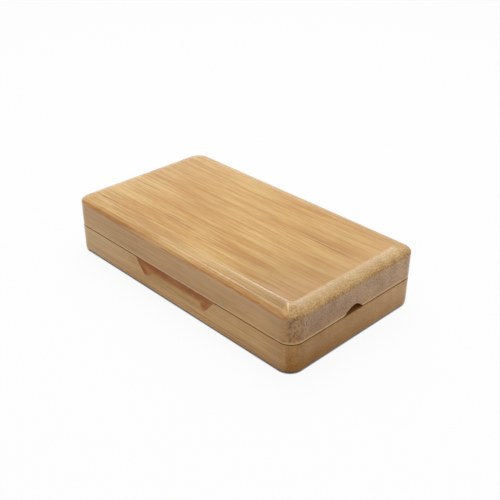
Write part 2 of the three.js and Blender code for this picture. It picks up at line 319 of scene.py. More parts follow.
def combined(body: Solid, others: Iterable[Solid], joining: Joining) -> Solid:
    """A solid after boolean steps with others.

    Args:
        body: the solid to start with, freed here.
        others: the solids to cut away or to join on, freed here.
        joining: which of the two.

    Returns:
        The new solid.
    """
    target = linked("scratch", meshed("scratch", body))
    tools = [linked("scratch", meshed("scratch", other)) for other in others]
    for tool in tools:
        step = target.modifiers.new("step", "BOOLEAN")
        step.object = tool
        step.operation = joining.value
        step.solver = "EXACT"
    done = target.evaluated_get(bpy.context.evaluated_depsgraph_get())
    result = bmesh.new()
    result.from_mesh(done.to_mesh())
    done.to_mesh_clear()
    for used in (target, *tools):
        mesh = used.data
        bpy.data.objects.remove(used)
        bpy.data.meshes.remove(mesh)
    return result


# Tones and zones


@dataclass(frozen=True)
class Tones:
    """The darkest and the palest tone of one look."""

    dark: Colour
    pale: Colour


def tone(red: int, green: int, blue: int) -> Colour:
    """A colour from its display values.

    Args:
        red, green, blue: display values from 0 to 255.

    Returns:
        The linear colour at full opacity, by the sRGB curve.
    """
    shares = [value / 255 for value in (red, green, blue)]
    linear = [s / 12.92 if s <= 0.04045 else ((s + 0.055) / 1.055) ** 2.4 for s in shares]
    return (*linear, 1.0)


def tones(dark: Display, pale: Display) -> Tones:
    """Tones from the display values of the darkest and the palest."""
    return Tones(tone(*dark), tone(*pale))


def plain(red: int, green: int, blue: int) -> Tones:
    """One tone for all, from its display values."""
    return tones((red, green, blue), (red, green, blue))


class Zone:
    """Where a look shows: a product of smooth steps, each over a measure of the surface.

    A step is 0 at its first value and 1 at its second, or its third value in place of the 0.
    Skin names the measures, and an ending _end lets a second step lie over the same one.
    """

    def __init__(self, strength: float = 1.0, **steps: Step) -> None:
        """Keeps how strongly the look shows at most, and the steps by the names of measures."""
        self.strength = strength
        self.steps = steps


@dataclass(frozen=True)
class Streak:
    """One darker grain line or patch on a broad face, in millimetres of that face."""

    x: float
    level: float
    half_length: float
    half_width: float
    slope: float
    strength: float


@dataclass(frozen=True)
class Layer:
    """Tones where the strongest of some zones shows, and the layers that lie over them.

    A layer with streaks shows only on these, and across says what their level is measured on.
    """

    tones: Tones
    zones: tuple[Zone, ...] = ()
    over: tuple["Layer", ...] = ()
    streaks: tuple[Streak, ...] = ()
    across: Axis = Axis.ACROSS


@dataclass(frozen=True)
class Grain:
    """One soft noise.

    A small stretch draws it out along that axis, scale is how fine it is, and detail and roughness
    are the number and strength of the finer noises added on.
    """

    stretch: tuple[float, float, float]
    scale: float
    detail: float = 2.0
    roughness: float = 0.5


# Node graphs


class Graph:
    """The node graph of one procedural material, or of the surround."""

    def __init__(self, owner: Union[Material, bpy.types.World]) -> None:
        """An empty graph in a new material or world.

        Args:
            owner: the material or world, whose nodes are cleared.
        """
        self.owner = owner
        owner.use_nodes = True
        self.nodes = owner.node_tree.nodes
        self.links = owner.node_tree.links
        self.nodes.clear()

    def feed(self, socket: Socket, value: Value) -> None:
        """Links a socket to another, or sets its value.

        Args:
            socket: the input.
            value: another node's output, or a plain value.
        """
        if isinstance(value, Socket):
            self.links.new(value, socket)
        else:
            socket.default_value = value

    def add(self, kind: str, inputs: dict, **settings: object) -> bpy.types.Node:
        """Adds a node.

        Args:
            kind: the node's type name, less its first word.
            inputs: values or sockets by input name or number.
            **settings: the node's own options.

        Returns:
            The node.
        """
        node = self.nodes.new(f"ShaderNode{kind}")
        for key, setting in settings.items():
            setattr(node, key, setting)
        for key, value in inputs.items():
            self.feed(node.inputs[key], value)
        return node

    def math(self, operation: str, *values: Value) -> Socket:
        """The result of a sum on one to three values."""
        return self.add("Math", dict(enumerate(values)), operation=operation).outputs[0]

    def scaled(self, value: Value, factor: Value, added: Value) -> Socket:
        """A value times a factor, with something added."""
        return self.math("MULTIPLY_ADD", value, factor, added)

    def product(self, first: Value, *others: Value) -> Value:
        """All the values multiplied.

        Args:
            first, *others: the values.

        Returns:
            Their product.
        """
        total = first
        for other in others:
            total = self.math("MULTIPLY", total, other)
        return total

    def millimetres(self) -> Socket:
        """The place on the piece, in millimetres of the case's own frame."""
        place = self.add("TexCoord", {}).outputs["Object"]
        return self.add("VectorMath", {"Vector": place, "Scale": 1 / MM}, operation="SCALE").outputs[0]

    def facing(self) -> Socket:
        """The direction that the surface faces, in the case's own frame."""
        return self.add("TexCoord", {}).outputs["Normal"]

    def parts(self, vector: Socket) -> list[Socket]:
        """The X, Y and Z of a vector."""
        return list(self.add("SeparateXYZ", {"Vector": vector}).outputs)

    def whole(self, x: Value, y: Value, z: Value) -> Socket:
        """The vector with these X, Y and Z."""
        return self.add("CombineXYZ", {0: x, 1: y, 2: z}).outputs[0]

    def noise(self, place: Socket, grain: Grain) -> Socket:
        """The value of a grain, round 0.5.

        Args:
            place: where it is read.
            grain: its shape.

        Returns:
            The value.
        """
        at = self.add("VectorMath", {0: place, 1: grain.stretch}, operation="MULTIPLY").outputs[0]
        inputs = {"Vector": at, "Scale": grain.scale, "Detail": grain.detail,
                  "Roughness": grain.roughness}
        return self.add("TexNoise", inputs).outputs[0]

    def rise(self, value: Value, low: float, high: float, least: float = 0.0) -> Socket:
        """A smooth step from least at low to 1 at high. It falls where low is above high."""
        inputs = {"Value": value, "From Min": low, "From Max": high, "To Min": least}
        return self.add("MapRange", inputs, interpolation_type="SMOOTHSTEP").outputs["Result"]

    def blend(self, share: Value, first: Value, second: Value) -> Socket:
        """One colour over another.

        Args:
            share: how much of the second shows.
            first, second: colours.

        Returns:
            The blended colour.
        """
        inputs = {0: share, 6: first, 7: second}
        return self.add("Mix", inputs, data_type="RGBA").outputs[2]

    def relief(self, height: Value, depth: float, strength: float) -> Socket:
        """A normal for a relief that is depth millimetres deep."""
        inputs = {"Strength": strength, "Distance": depth * MM, "Height": height}
        return self.add("Bump", inputs).outputs[0]

    def backdrop(self) -> Socket:
        """1 for rays that show the surround: from the camera, in gloss and through glass.

        Returns:
            The share, 0 or 1.
        """
        path = self.add("LightPath", {}).outputs
        gloss = self.math("MAXIMUM", path["Is Camera Ray"], path["Is Glossy Ray"])
        return self.math("MAXIMUM", gloss, path["Is Transmission Ray"])

    def end(self, shader: Socket) -> None:
        """Ends the graph in its output."""
        kind = "World" if isinstance(self.owner, bpy.types.World) else "Material"
        self.add(f"Output{kind}", {"Surface": shader})

    def surface(self, sockets: dict[str, Value]) -> Material:
        """Ends the graph in a principled shader with these sockets, and returns its material."""
        self.end(self.add("BsdfPrincipled", sockets).outputs[0])
        return self.owner


class Skin(Graph):
    """The graph of a bamboo piece, with the measures of its surface by name.

    x, y and z are the place in millimetres, far_x and far_y the distance from the case's middle,
    nx, ny and nz the facing, and steep_x the size of nx. A finish may add more.
    """

    def __init__(self, name: str) -> None:
        """A new material, with its place and facing read.

        Args:
            name: the material's name.
        """
        super().__init__(bpy.data.materials.new(name))
        self.place = self.millimetres()
        self.measures = dict(zip(("x", "y", "z"), self.parts(self.place)))
        self.measures |= zip(("nx", "ny", "nz"), self.parts(self.facing()))
        for size, measure in (("far_x", "x"), ("far_y", "y"), ("steep_x", "nx")):
            self.measures[size] = self.math("ABSOLUTE", self.measures[measure])

    def cover(self, zones: Iterable[Zone]) -> Value:
        """How strongly the strongest of some zones shows.

        Args:
            zones: the zones.

        Returns:
            A value from 0 to 1.
        """
        total: Value = 0.0
        for zone in zones:
            share: Value = zone.strength
            for name, step in zone.steps.items():
                measure = self.measures[name.removesuffix("_end")]
                share = self.math("MULTIPLY", self.rise(measure, *step), share)
            total = self.math("MAXIMUM", total, share)
        return total

    def marks(self, streaks: Iterable[Streak], across: Axis) -> Value:
        """How strongly streaks show.

        Args:
            streaks: the streaks of one face.
            across: the axis that their level is measured on.

        Returns:
            A value from 0 to 1.
        """
        total: Value = 0.0
        for mark in streaks:
            along = self.math("SUBTRACT", self.measures["x"], mark.x)
            centre = self.scaled(along, mark.slope, mark.level)
            off = self.math("ABSOLUTE", self.math("SUBTRACT", self.measures[across.value], centre))
            near = self.rise(off, mark.half_width, mark.half_width / 4)
            tail = self.rise(self.math("ABSOLUTE", along), mark.half_length, mark.half_length / 3)
            total = self.math("MAXIMUM", total, self.product(near, tail, mark.strength))
        return total

    def shown(self, layer: Layer) -> Value:
        """How strongly a layer shows.

        Args:
            layer: the layer.

        Returns:
            A value from 0 to 1.
        """
        if not layer.streaks:
            return self.cover(layer.zones)
        marks = self.marks(layer.streaks, layer.across)
        return self.product(marks, self.cover(layer.zones)) if layer.zones else marks

    def laid(self, layer: Layer, share: Value) -> Socket:
        """The colour of a layer with those over it.

        Args:
            layer: the layer.
            share: how pale its tones are, from 0 to 1.

        Returns:
            The colour.
        """
        colour = self.blend(share, layer.tones.dark, layer.tones.pale)
        return self.covered(colour, layer.over, share)

    def covered(self, colour: Socket, layers: Iterable[Layer], share: Value) -> Socket:
        """A colour with layers laid over it.

        Args:
            colour: the colour below.
            layers: the layers, from the lowest.
            share: how pale their tones are, from 0 to 1.

        Returns:
            The colour.
        """
        for layer in layers:
            colour = self.blend(self.shown(layer), colour, self.laid(layer, share))
        return colour


# Finishes


@dataclass(frozen=True)
class Strand:
    """One layer of fibre noise: its stretch along the case, how fine it is and how strong."""

    stretch: float
    scale: float
    weight: float


@dataclass(frozen=True)
class Bundles:
    """Cut fibre bundles: how fine, the distance from their middle where they end, how strong."""

    scale: float
    step: Step
    strength: float


@dataclass(frozen=True)
class Bamboo:
    """Laminated bamboo under clear lacquer. Its fibres run along X.

    The layer along lies on the faces along the fibres and the layer ends across them. Those in over
    lie on both, and the lacquer is off where the zones in uncoated show.
    """

    name: str = "rib_bamboo"
    along: Layer = Layer(tones((184, 134, 66), (222, 184, 116)))
    ends: Layer = Layer(tones((160, 118, 66), (192, 152, 94)))
    over: tuple[Layer, ...] = ()
    uncoated: tuple[Zone, ...] = ()
    dot: Colour = tone(112, 74, 38)
    dot_strength: float = 0.4
    coat_weight: float = 0.15
    coat_roughness: float = 0.3
    off_from: float = 0.0
    ragged_by: float = 0.0
    specular: float = 0.12
    wander: Grain = Grain((0.02, 0.06, 0.06), 1.0, 1.0)
    drift: float = 0.35
    strands: tuple[Strand, ...] = (
        Strand(0.14, 2.2, 0.4),
        Strand(0.02, 2.9, 1.0),
        Strand(0.03, 1.35, 1.05),
        Strand(0.05, 0.45, 0.68),
        Strand(0.2, 0.13, 0.75),
    )
    strand_step: Step = (0.1, 0.9)
    end_turn: Step = (0.14, 0.36)
    left_tilt: Step = (0.35, 0.6)
    right_tilt: Step = (0.0005, 0.014)
    left_side: Step = (0.0, -0.01)
    coarse: Bundles = Bundles(0.95, (0.44, 0.14), 0.8)
    fine: Bundles = Bundles(1.6, (0.5, 0.1), 0.58)
    bundle_lean: float = -0.45
    bundle_height: float = 0.62
    bundle_scatter: float = 0.85
    near_corner: Zone = Zone(y=(-15.0, -27.0), nz=(0.96, 0.75))
    dots: Zone = Zone(nx=(-0.1, 0.1), nz=(0.99, 0.94, 0.35))
    pores: Grain = Grain((0.5, 1, 0.5), 3.0, 2.0, 0.6)
    clouds: Grain = Grain((0.5, 1, 0.7), 0.25)
    cloud_weight: float = 0.5
    ground_step: Step = (0.5, 1.0)
    wear: Grain = Grain((0.4, 1, 1), 0.35, 3.0)
    wear_weight: float = 0.2
    end_dulling: float = 0.1
    roughness: float = 0.38
    relief_depth: float = 0.02
    relief_strength: float = 0.35
    bundle_relief: float = -0.6
    ior: float = 1.5

    def fibres(self, skin: Skin) -> Socket:
        """How pale the fibres are: hairs, strands, bundles and soft patches.

        Args:
            skin: the material's graph.

        Returns:
            A value from 0 to 1.
        """
        wander = skin.noise(skin.place, self.wander)
        moved = skin.whole(skin.measures["x"], skin.scaled(wander, self.drift, skin.measures["y"]),
                           skin.scaled(wander, self.drift, skin.measures["z"]))
        total: Value = 0.5 - sum(strand.weight for strand in self.strands) / 2
        for strand in self.strands:
            hair = skin.noise(moved, Grain((strand.stretch, 1, 1), strand.scale))
            total = skin.scaled(hair, strand.weight, total)
        return skin.rise(total, *self.strand_step)

    def end_share(self, skin: Skin) -> Socket:
        """How far a surface cuts across the fibres.

        On the left the fibres can be seen further down the rounding than on the right.

        Args:
            skin: the material's graph.

        Returns:
            A value from 0 on the long faces to 1 on the ends.
        """
        nx, ny = skin.measures["nx"], skin.measures["ny"]
        squared_x = skin.math("MULTIPLY", nx, nx)
        across = skin.scaled(ny, ny, squared_x)
        turn = skin.math("DIVIDE", squared_x, skin.math("MAXIMUM", across, TINY))
        tilt = skin.math("SQRT", across)
        tilted = skin.blend(skin.rise(nx, *self.left_side), skin.rise(tilt, *self.right_tilt),
                            skin.rise(tilt, *self.left_tilt))
        return skin.product(skin.rise(turn, *self.end_turn), tilted)

    def bundles(self, skin: Skin) -> Socket:
        """The cut fibre bundles of an end: coarse only near the front.

        Args:
            skin: the material's graph.

        Returns:
            A value from 0 between the bundles to 1.
        """
        slant = skin.math("MULTIPLY", skin.measures["far_x"], self.bundle_lean)
        upright = skin.scaled(skin.measures["z"], self.bundle_height, slant)
        section = skin.whole(skin.measures["y"], upright, 0.0)
        shares = []
        for kind in (self.fine, self.coarse):
            inputs = {"Vector": section, "Scale": kind.scale, "Randomness": self.bundle_scatter}
            cells = skin.add("TexVoronoi", inputs, voronoi_dimensions="2D").outputs["Distance"]
            shares.append(skin.product(skin.rise(cells, *kind.step), kind.strength))
        return skin.blend(skin.cover([self.near_corner]), *shares)

    def read(self, skin: Skin, ground: Socket) -> None:
        """Adds the measures that this finish's zones need.

        Args:
            skin: the material's graph.
            ground: how pale the wood is between the bundles of an end.
        """
        off = skin.math("SUBTRACT", skin.measures["x"], self.off_from)
        skin.measures["off"] = skin.math("ABSOLUTE", off)
        skin.measures["ragged"] = skin.scaled(ground, self.ragged_by, skin.measures["z"])

    def build(self) -> Material:
        """The material.

        Returns:
            A new material by the finish's name.
        """
        skin = Skin(self.name)
        fibres = self.fibres(skin)
        skin.measures["fibres"] = fibres
        end = self.end_share(skin)
        bundles = self.bundles(skin)
        clouds = skin.noise(skin.place, self.clouds)
        ground = skin.rise(skin.scaled(clouds, self.cloud_weight, skin.noise(skin.place, self.pores)),
                           *self.ground_step)
        self.read(skin, ground)
        dots = skin.product(bundles, skin.cover([self.dots]), self.dot_strength)
        across = skin.blend(dots, skin.laid(self.ends, ground), self.dot)
        colour = skin.blend(end, skin.laid(self.along, fibres), across)
        colour = skin.covered(colour, self.over, fibres)

        wear = skin.scaled(skin.noise(skin.place, self.wear), self.wear_weight, self.roughness)
        height = skin.scaled(skin.math("MULTIPLY", bundles, end), self.bundle_relief, fibres)
        coat: Value = self.coat_weight
        if self.uncoated:
            coat = skin.scaled(skin.cover(self.uncoated), -self.coat_weight, self.coat_weight)
        return skin.surface({
            "Base Color": colour,
            "Roughness": skin.scaled(end, self.end_dulling, wear),
            "Normal": skin.relief(height, self.relief_depth, self.relief_strength),
            "IOR": self.ior,
            "Specular IOR Level": self.specular,
            "Coat Weight": coat,
            "Coat Roughness": self.coat_roughness,
            "Coat IOR": self.ior,
        })


STREAK = plain(158, 98, 32)
RAW = tones((122, 84, 42), (166, 124, 72))
VENT_WOOD = plain(172, 114, 56)
# Orange of the lid's rounding and of the side just below it: partly the wood's own tone, partly painted
# shade where the rounding reflects little light.
LID_ROUNDING_AND_SHADE = tones((168, 106, 48), (216, 167, 110))
CORNER_SHADE = Layer(plain(112, 62, 14), (
    Zone(0.46, x=(6.0, 54.0), y=(16.0, -26.0, 0.25), nx=(0.012, 0.002, 0.3), nz=(0.88, 0.98)),
    Zone(0.2852, x=(40.0, 51.0), y=(28.0, -28.0), nz=(0.6, 0.3)),
))

LID_STREAKS = (
    Streak(-30, -22.0, 24, 0.35, 0.03, 0.75),
    Streak(-43, -22.7, 10, 0.28, 0.07, 0.6),
    Streak(-40, -25.0, 14, 0.25, -0.02, 0.6),
    Streak(32, 9.2, 17, 2.4, -0.03, 0.35),
    Streak(35, 8.1, 13, 0.45, -0.03, 0.65),
    Streak(17, 5.6, 9, 0.3, -0.04, 0.4),
    Streak(5, 10.8, 8, 2.0, -0.1, 0.25),
    Streak(-12, -15.6, 11, 2.8, 0.0, 0.28),
    Streak(22, -16.6, 28, 2.6, 0.0, 0.22),
    Streak(31, 18.8, 20, 1.0, -0.04, 0.3),
    Streak(-29, 3.5, 5, 0.3, 0.0, 0.4),
    Streak(27, 0.3, 6, 0.3, 0.0, 0.4),
)
# Painted sheen: the lid's top paler along its front edge and towards its left.
LID_FRONT_SHEEN = Layer(tones((192, 138, 64), (230, 192, 128)), (
    Zone(x=(-75.0, -15.0), y=(-22.5, -24.5)),
    Zone(0.45, x=(-25.0, -48.0)),
))
LID_SIDE = Layer(tones((176, 126, 56), (200, 154, 88)), (Zone(nz=(0.42, 0.18)),), (
    Layer(plain(210, 174, 128), (Zone(0.2, z=(13.5, 17.0), off=(8.0, 26.0)),)),
    Layer(LID_ROUNDING_AND_SHADE, (Zone(0.8, z=(18.7, 19.6)),)),
))
LID_END_LOW = Layer(tones((146, 96, 24), (201, 154, 84)), (
    Zone(0.7, z=(15.5, 11.5)),
    Zone(y=(5.0, -24.0), z=(17.0, 13.5)),
))
LID_FACE = Zone(z=(LID_RIM + 0.06, LID_RIM + 0.03), nz=(-0.8, -0.95))
LID_HOLLOW = Zone(z=(19.4, 19.2), far_x=(49.6, 49.5), far_y=(26.1, 26.0))
LID_VENT = {"y": (-7.2, -7.1), "y_end": (3.9, 3.8), "z": (LID_RIM + 2.9, LID_RIM + 2.8),
            "steep_x": (0.6, 0.3)}


@dataclass(frozen=True)
class LidBamboo(Bamboo):
    """The lid's bamboo: a honey top with painted sheen paler to its front and left, an orange rounding
    that is partly painted shade, plainer sides, and speckled ends with an ochre rounding and a painted
    sheen along its top. A painted highlight runs along its lower edge above the seam. Its rim, hollow
    and vents are bare, and the lacquer is rubbed off the steep part of the rounding."""

    name: str = "lid_bamboo"
    along: Layer = Layer(tones((194, 134, 42), (224, 182, 106)), over=(
        LID_FRONT_SHEEN,
        Layer(STREAK, (Zone(fibres=(1.1, 0.2)),), streaks=LID_STREAKS),
        Layer(LID_ROUNDING_AND_SHADE, (Zone(0.85, nz=(0.97, 0.84)),)),
        LID_SIDE,
    ))
    ends: Layer = Layer(tones((179, 134, 65), (221, 185, 121)), over=(
        Layer(tones((164, 120, 64), (206, 169, 116)), (Zone(z=(21.0, 20.4)),)),
        # Painted sheen along the top of the end rounding, stronger towards the front.
        Layer(plain(238, 214, 170), (Zone(0.55, nx=(0.1, 0.03), y=(0.0, -22.0, 3 / 11)),)),
        Layer(tones((150, 106, 52), (208, 166, 116)), (Zone(ragged=(19.9, 17.9)),), (LID_END_LOW,)),
    ))
    over: tuple[Layer, ...] = (
        CORNER_SHADE,
        # Painted highlight: a pale line along the lid's lower edge above the seam, set a little higher
        # on the ends.
        Layer(plain(222, 184, 124), (
            Zone(0.55, z=(LID_RIM + 1.05, LID_RIM + 0.55)),
            Zone(0.55, z=(LID_RIM + 1.35, LID_RIM + 0.85), nx=(0.3, 0.8)),
        )),
        Layer(plain(216, 167, 110), (Zone(0.35, x=(34.0, 48.0), nz=(0.9985, 0.9999)),)),
        Layer(RAW, (LID_FACE, LID_HOLLOW, Zone(**LID_VENT))),
        Layer(VENT_WOOD, (Zone(0.8, **LID_VENT),)),
    )
    uncoated: tuple[Zone, ...] = (LID_FACE, LID_HOLLOW, Zone(**LID_VENT),
                                  Zone(0.85, nz=(0.94, 0.82), nz_end=(0.25, 0.5)))
    dot: Colour = tone(100, 54, 16)
    dot_strength: float = 0.7
    coat_weight: float = 0.85
    coat_roughness: float = 0.07
    off_from: float = -12.0
    ragged_by: float = 0.5


BASE_STREAKS = (
    Streak(26, 3.0, 30, 0.35, -0.005, 0.6),
    Streak(10, 2.0, 40, 0.3, 0.0, 0.4),
    Streak(-38, 3.2, 14, 0.4, -0.01, 0.35),
)
BASE_FACE = {"z": (BASE_RIM - 0.06, BASE_RIM - 0.03), "nz": (0.8, 0.95)}
BASE_HOLLOW = Zone(z=(2.1, 2.3), far_x=(49.6, 49.5), far_y=(26.1, 26.0))
BASE_SILL = Zone(0.8, y=(-7.2, -7.1), y_end=(4.2, 4.1), far_x=(48.0, 49.0), **BASE_FACE)
IN_SCOOP = {"off": (20.6, 20.5), "y": (-29.97, -29.87), "y_end": (-26.6, -26.7), "z": (5.15, 5.25)}
# Where the scoop is darker and redder, under the lid and on its ends: partly redder cut wood, partly
# painted shade.
SCOOP_CUT_AND_SHADE = (Zone(0.95, blotched=(7.3, 8.2), **IN_SCOOP), Zone(0.95, slanted=(18.2, 18.8), **IN_SCOOP))
# Painted shade: a dark band on the foot's downward rounding, where the case meets the floor.
PAINTED_FOOT_SHADE = Zone(0.9, z=(1.1, 0.7), nz=(-0.99, -0.97, 0.25))


@dataclass(frozen=True)
class BaseBamboo(Bamboo):
    """The base's bamboo: plain sides with an orange lower band and painted sheen paler to the left, and
    plain ends with painted sheen paler to the back, redder below. A painted highlight runs along the
    rim edge below the seam. Its rim and hollow are bare, the scoop is redder where it is cut and darker
    with painted shade under the lid and on its ends, and the foot has painted shade."""

    name: str = "base_bamboo"
    along: Layer = Layer(tones((180, 134, 72), (208, 163, 100)), over=(
        Layer(tones((162, 104, 42), (208, 155, 82)), (Zone(0.85, wavy=(6.6, 4.0)),)),
        # Painted sheen: the base's long faces paler towards the left.
        Layer(plain(219, 189, 139), (Zone(0.35, x=(-15.0, -45.0)),)),
        Layer(STREAK, streaks=BASE_STREAKS, across=Axis.UPRIGHT),
    ))
    ends: Layer = Layer(tones((162, 114, 42), (198, 148, 78)), over=(
        # Painted sheen: the ends paler towards the back.
        Layer(plain(206, 166, 118), (Zone(0.35, y=(-5.0, 26.0)),)),
        Layer(tones((150, 98, 34), (184, 126, 56)), (Zone(0.85, ragged=(7.6, 3.2), y=(60.0, -45.0)),)),
    ))
    over: tuple[Layer, ...] = (
        CORNER_SHADE,
        # Painted highlight: a pale line along the base's rim edge below the seam, stronger towards the
        # left.
        Layer(plain(216, 178, 122), (Zone(0.45, z=(BASE_RIM - 0.9, BASE_RIM - 0.4), x=(45.0, -20.0)),)),
        Layer(RAW, (Zone(**BASE_FACE), BASE_HOLLOW)),
        Layer(VENT_WOOD, (BASE_SILL,)),
        Layer(plain(172, 108, 64), SCOOP_CUT_AND_SHADE, (Layer(plain(198, 136, 90), (Zone(blotch=(0.3, 0.7)),)),)),
        Layer(plain(52, 44, 34), (PAINTED_FOOT_SHADE,)),
    )
    uncoated: tuple[Zone, ...] = (Zone(**BASE_FACE), BASE_HOLLOW, *SCOOP_CUT_AND_SHADE, PAINTED_FOOT_SHADE,
                                  Zone(0.7, z=(8.0, 2.5), nx=(0.3, 0.8), y=(60.0, -45.0)))
    dot: Colour = tone(130, 90, 50)
    dot_strength: float = 0.14
    coat_weight: float = 0.6
    coat_roughness: float = 0.12
    off_from: float = 0.7
    ragged_by: float = 1.5
    waves: Grain = Grain((0.05, 1, 1), 0.3)
    wave_height: float = 5.0
    blotches: Grain = Grain((0.3, 1, 1), 0.8, 3.0)
    blotch_height: float = 1.6
    scoop_slant: float = 0.9

    def read(self, skin: Skin, ground: Socket) -> None:
        """Adds the measures that this finish's zones need.

        Args:
            skin: the material's graph.
            ground: how pale the wood is between the bundles of an end.
        """
        super().read(skin, ground)
        z = skin.measures["z"]
        blotch = skin.noise(skin.place, self.blotches)
        skin.measures["blotch"] = blotch
        skin.measures["blotched"] = skin.scaled(blotch, self.blotch_height, z)
        skin.measures["slanted"] = skin.scaled(z, self.scoop_slant, skin.measures["off"])
        skin.measures["wavy"] = skin.scaled(skin.noise(skin.place, self.waves), self.wave_height, z)


@dataclass(frozen=True)
class Felt:
    """Pressed wool felt."""

    dark: Colour = tone(44, 29, 24)
    light: Colour = tone(86, 62, 52)
    fibres: Grain = Grain((1, 1, 1), 3.2, 4.0, 0.7)
    clouds: Grain = Grain((1, 1, 1), 0.16, 3.0)
    fibre_weight: float = 0.7
    colour_span: tuple[float, float] = (0.35, 0.65)
    roughness: float = 0.88
    roughness_change: float = 0.1
    nap: float = 0.25
    nap_strength: float = 0.9

    def build(self) -> Material:
        """The material.

        Returns:
            A new material.
        """
        graph = Graph(bpy.data.materials.new("felt"))
        place = graph.millimetres()
        fibres = graph.noise(place, self.fibres)
        clouds = graph.math("MULTIPLY", graph.noise(place, self.clouds), 1 - self.fibre_weight)
        ramp = graph.add("ValToRGB", {0: graph.scaled(fibres, self.fibre_weight, clouds)})
        for element, at, colour in zip(ramp.color_ramp.elements, self.colour_span,
                                       (self.dark, self.light)):
            element.position = at
            element.color = colour
        return graph.surface({
            "Base Color": ramp.outputs[0],
            "Roughness": graph.scaled(fibres, self.roughness_change, self.roughness),
            "Normal": graph.relief(fibres, self.nap, self.nap_strength),
            "Sheen Weight": 0.35,
            "Sheen Roughness": 0.5,
            "Specular IOR Level": 0.2,
        })


@dataclass(frozen=True)
class PlateGlass:
    """Polished plate glass with greener seamed edges and a few smears."""

    face: Colour = (0.93, 0.975, 0.95, 1.0)
    edge: Colour = (0.45, 0.72, 0.6, 1.0)
    edge_step: Step = (0.9, 0.6)
    edge_roughness: float = 0.2
    smears: Grain = Grain((0.5, 1, 1), 0.12, 4.0, 0.6)
    smear_step: Step = (0.5, 0.75)
    smear_roughness: float = 0.05

    def build(self) -> Material:
        """The material.

        Returns:
            A new material.
        """
        graph = Graph(bpy.data.materials.new("plate_glass"))
        _, _, nz = graph.parts(graph.facing())
        rim = graph.rise(graph.math("ABSOLUTE", nz), *self.edge_step)
        smears = graph.rise(graph.noise(graph.millimetres(), self.smears), *self.smear_step)
        worn = graph.math("MULTIPLY", smears, self.smear_roughness)
        return graph.surface({
            "Base Color": graph.blend(rim, self.face, self.edge),
            "Roughness": graph.scaled(rim, self.edge_roughness, worn),
            "Transmission Weight": 1.0,
            "IOR": 1.5,
        })


@dataclass(frozen=True)
class WovenElastic:
    """Black woven elastic. The cords run along Y."""

    thread: Colour = tone(38, 37, 38)
    shade: Colour = tone(14, 14, 15)
    lint: Colour = tone(84, 82, 80)
    pitch: float = 0.42
    fuzz: Grain = Grain((1, 1, 1), 5.0, 3.0, 0.7)
    lint_step: Step = (0.6, 0.75)
    lint_strength: float = 0.5
    fuzz_height: float = 0.6
    roughness: float = 0.65
    roughness_change: float = 0.2
    weave_depth: float = 0.06
    weave_strength: float = 0.8

    def build(self) -> Material:
        """The material.

        Returns:
            A new material.
        """
        graph = Graph(bpy.data.materials.new("woven_elastic"))
        place = graph.millimetres()
        turn = graph.math("MULTIPLY", graph.parts(place)[1], 2 * math.pi / self.pitch)
        weft = graph.scaled(graph.math("SINE", turn), 0.5, 0.5)
        fuzz = graph.noise(place, self.fuzz)
        lint = graph.math("MULTIPLY", graph.rise(fuzz, *self.lint_step), self.lint_strength)
        height = graph.scaled(fuzz, self.fuzz_height, weft)
        return graph.surface({
            "Base Color": graph.blend(lint, graph.blend(weft, self.shade, self.thread), self.lint),
            "Roughness": graph.scaled(fuzz, self.roughness_change, self.roughness),
            "Normal": graph.relief(height, self.weave_depth, self.weave_strength),
            "Sheen Weight": 0.2,
            "Sheen Roughness": 0.4,
        })


@dataclass(frozen=True)
class Metal:
    """A metal with fine working marks and a duller film in places."""

    name: str
    bright: Colour
    dull: Colour
    roughness: float
    marks: tuple[float, float, float] = (1.0, 1.0, 1.0)
    mark_scale: float = 6.0
    mark_roughness: float = 0.12
    mark_depth: float = 0.012
    mark_strength: float = 0.6
    film: Grain = Grain((1, 1, 1), 0.3, 2.0, 0.5)
    film_step: Step = (0.3, 0.75)
    film_roughness: float = 0.22

    def build(self) -> Material:
        """The material.

        Returns:
            A new material by the finish's name.
        """
        graph = Graph(bpy.data.materials.new(self.name))
        place = graph.millimetres()
        share = graph.rise(graph.noise(place, self.film), *self.film_step)
        lines = graph.noise(place, Grain(self.marks, self.mark_scale, 3.0, 0.7))
        rough = graph.scaled(share, self.film_roughness, self.roughness)
        return graph.surface({
            "Base Color": graph.blend(share, self.bright, self.dull),
            "Metallic": 1.0,
            "Roughness": graph.scaled(lines, self.mark_roughness, rough),
            "Normal": graph.relief(lines, self.mark_depth, self.mark_strength),
        })


BRASS = Metal("hinge_brass", tone(204, 172, 112), tone(178, 144, 88), 0.27, (0.15, 1.0, 1.0))
TACK_BRASS = Metal("tack_brass", tone(222, 186, 118), tone(184, 146, 88), 0.18)
NICKEL = Metal("nickel", tone(206, 203, 196), tone(150, 147, 141), 0.2)
STEEL = Metal("pin_steel", tone(188, 188, 186), tone(120, 118, 114), 0.26, (0.1, 1.0, 1.0))


# Pieces


@dataclass
class Piece:
    """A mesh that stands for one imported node."""

    node: str
    half: Half
    slot: str

    def store(self, solid: Solid, material: Material, edge: float = 0.0, sharp: float = 32.0) -> Shown:
        """Stores a solid as the piece that shows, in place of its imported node.

        Args:
            solid: the shape in millimetres, freed here.
            material: its finish.
            edge: width of the small bevel on its edges, or zero for none.
            sharp: the angle in degrees from which an edge counts as sharp.

        Returns:
            The object.
        """
        name = f"{self.node}_dressed"
        bmesh.ops.remove_doubles(solid, verts=solid.verts, dist=MERGED)
        bmesh.ops.scale(solid, vec=(MM, MM, MM), verts=solid.verts)
        mesh = meshed(name, solid)
        mesh.materials.append(material)
        mesh.shade_smooth()
        mesh.set_sharp_from_angle(angle=math.radians(sharp))
        shown = linked(name, mesh)
        if edge:
            bevel = shown.modifiers.new("edges", "BEVEL")
            bevel.width = edge * MM
            bevel.segments = 2
            bevel.limit_method = "ANGLE"
            bevel.angle_limit = math.radians(sharp)
            bevel.use_clamp_overlap = True
        even = shown.modifiers.new("even", "WEIGHTED_NORMAL")
        even.keep_sharp = not edge
        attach(shown, self.half.value)
        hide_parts(self.node)
        return shown


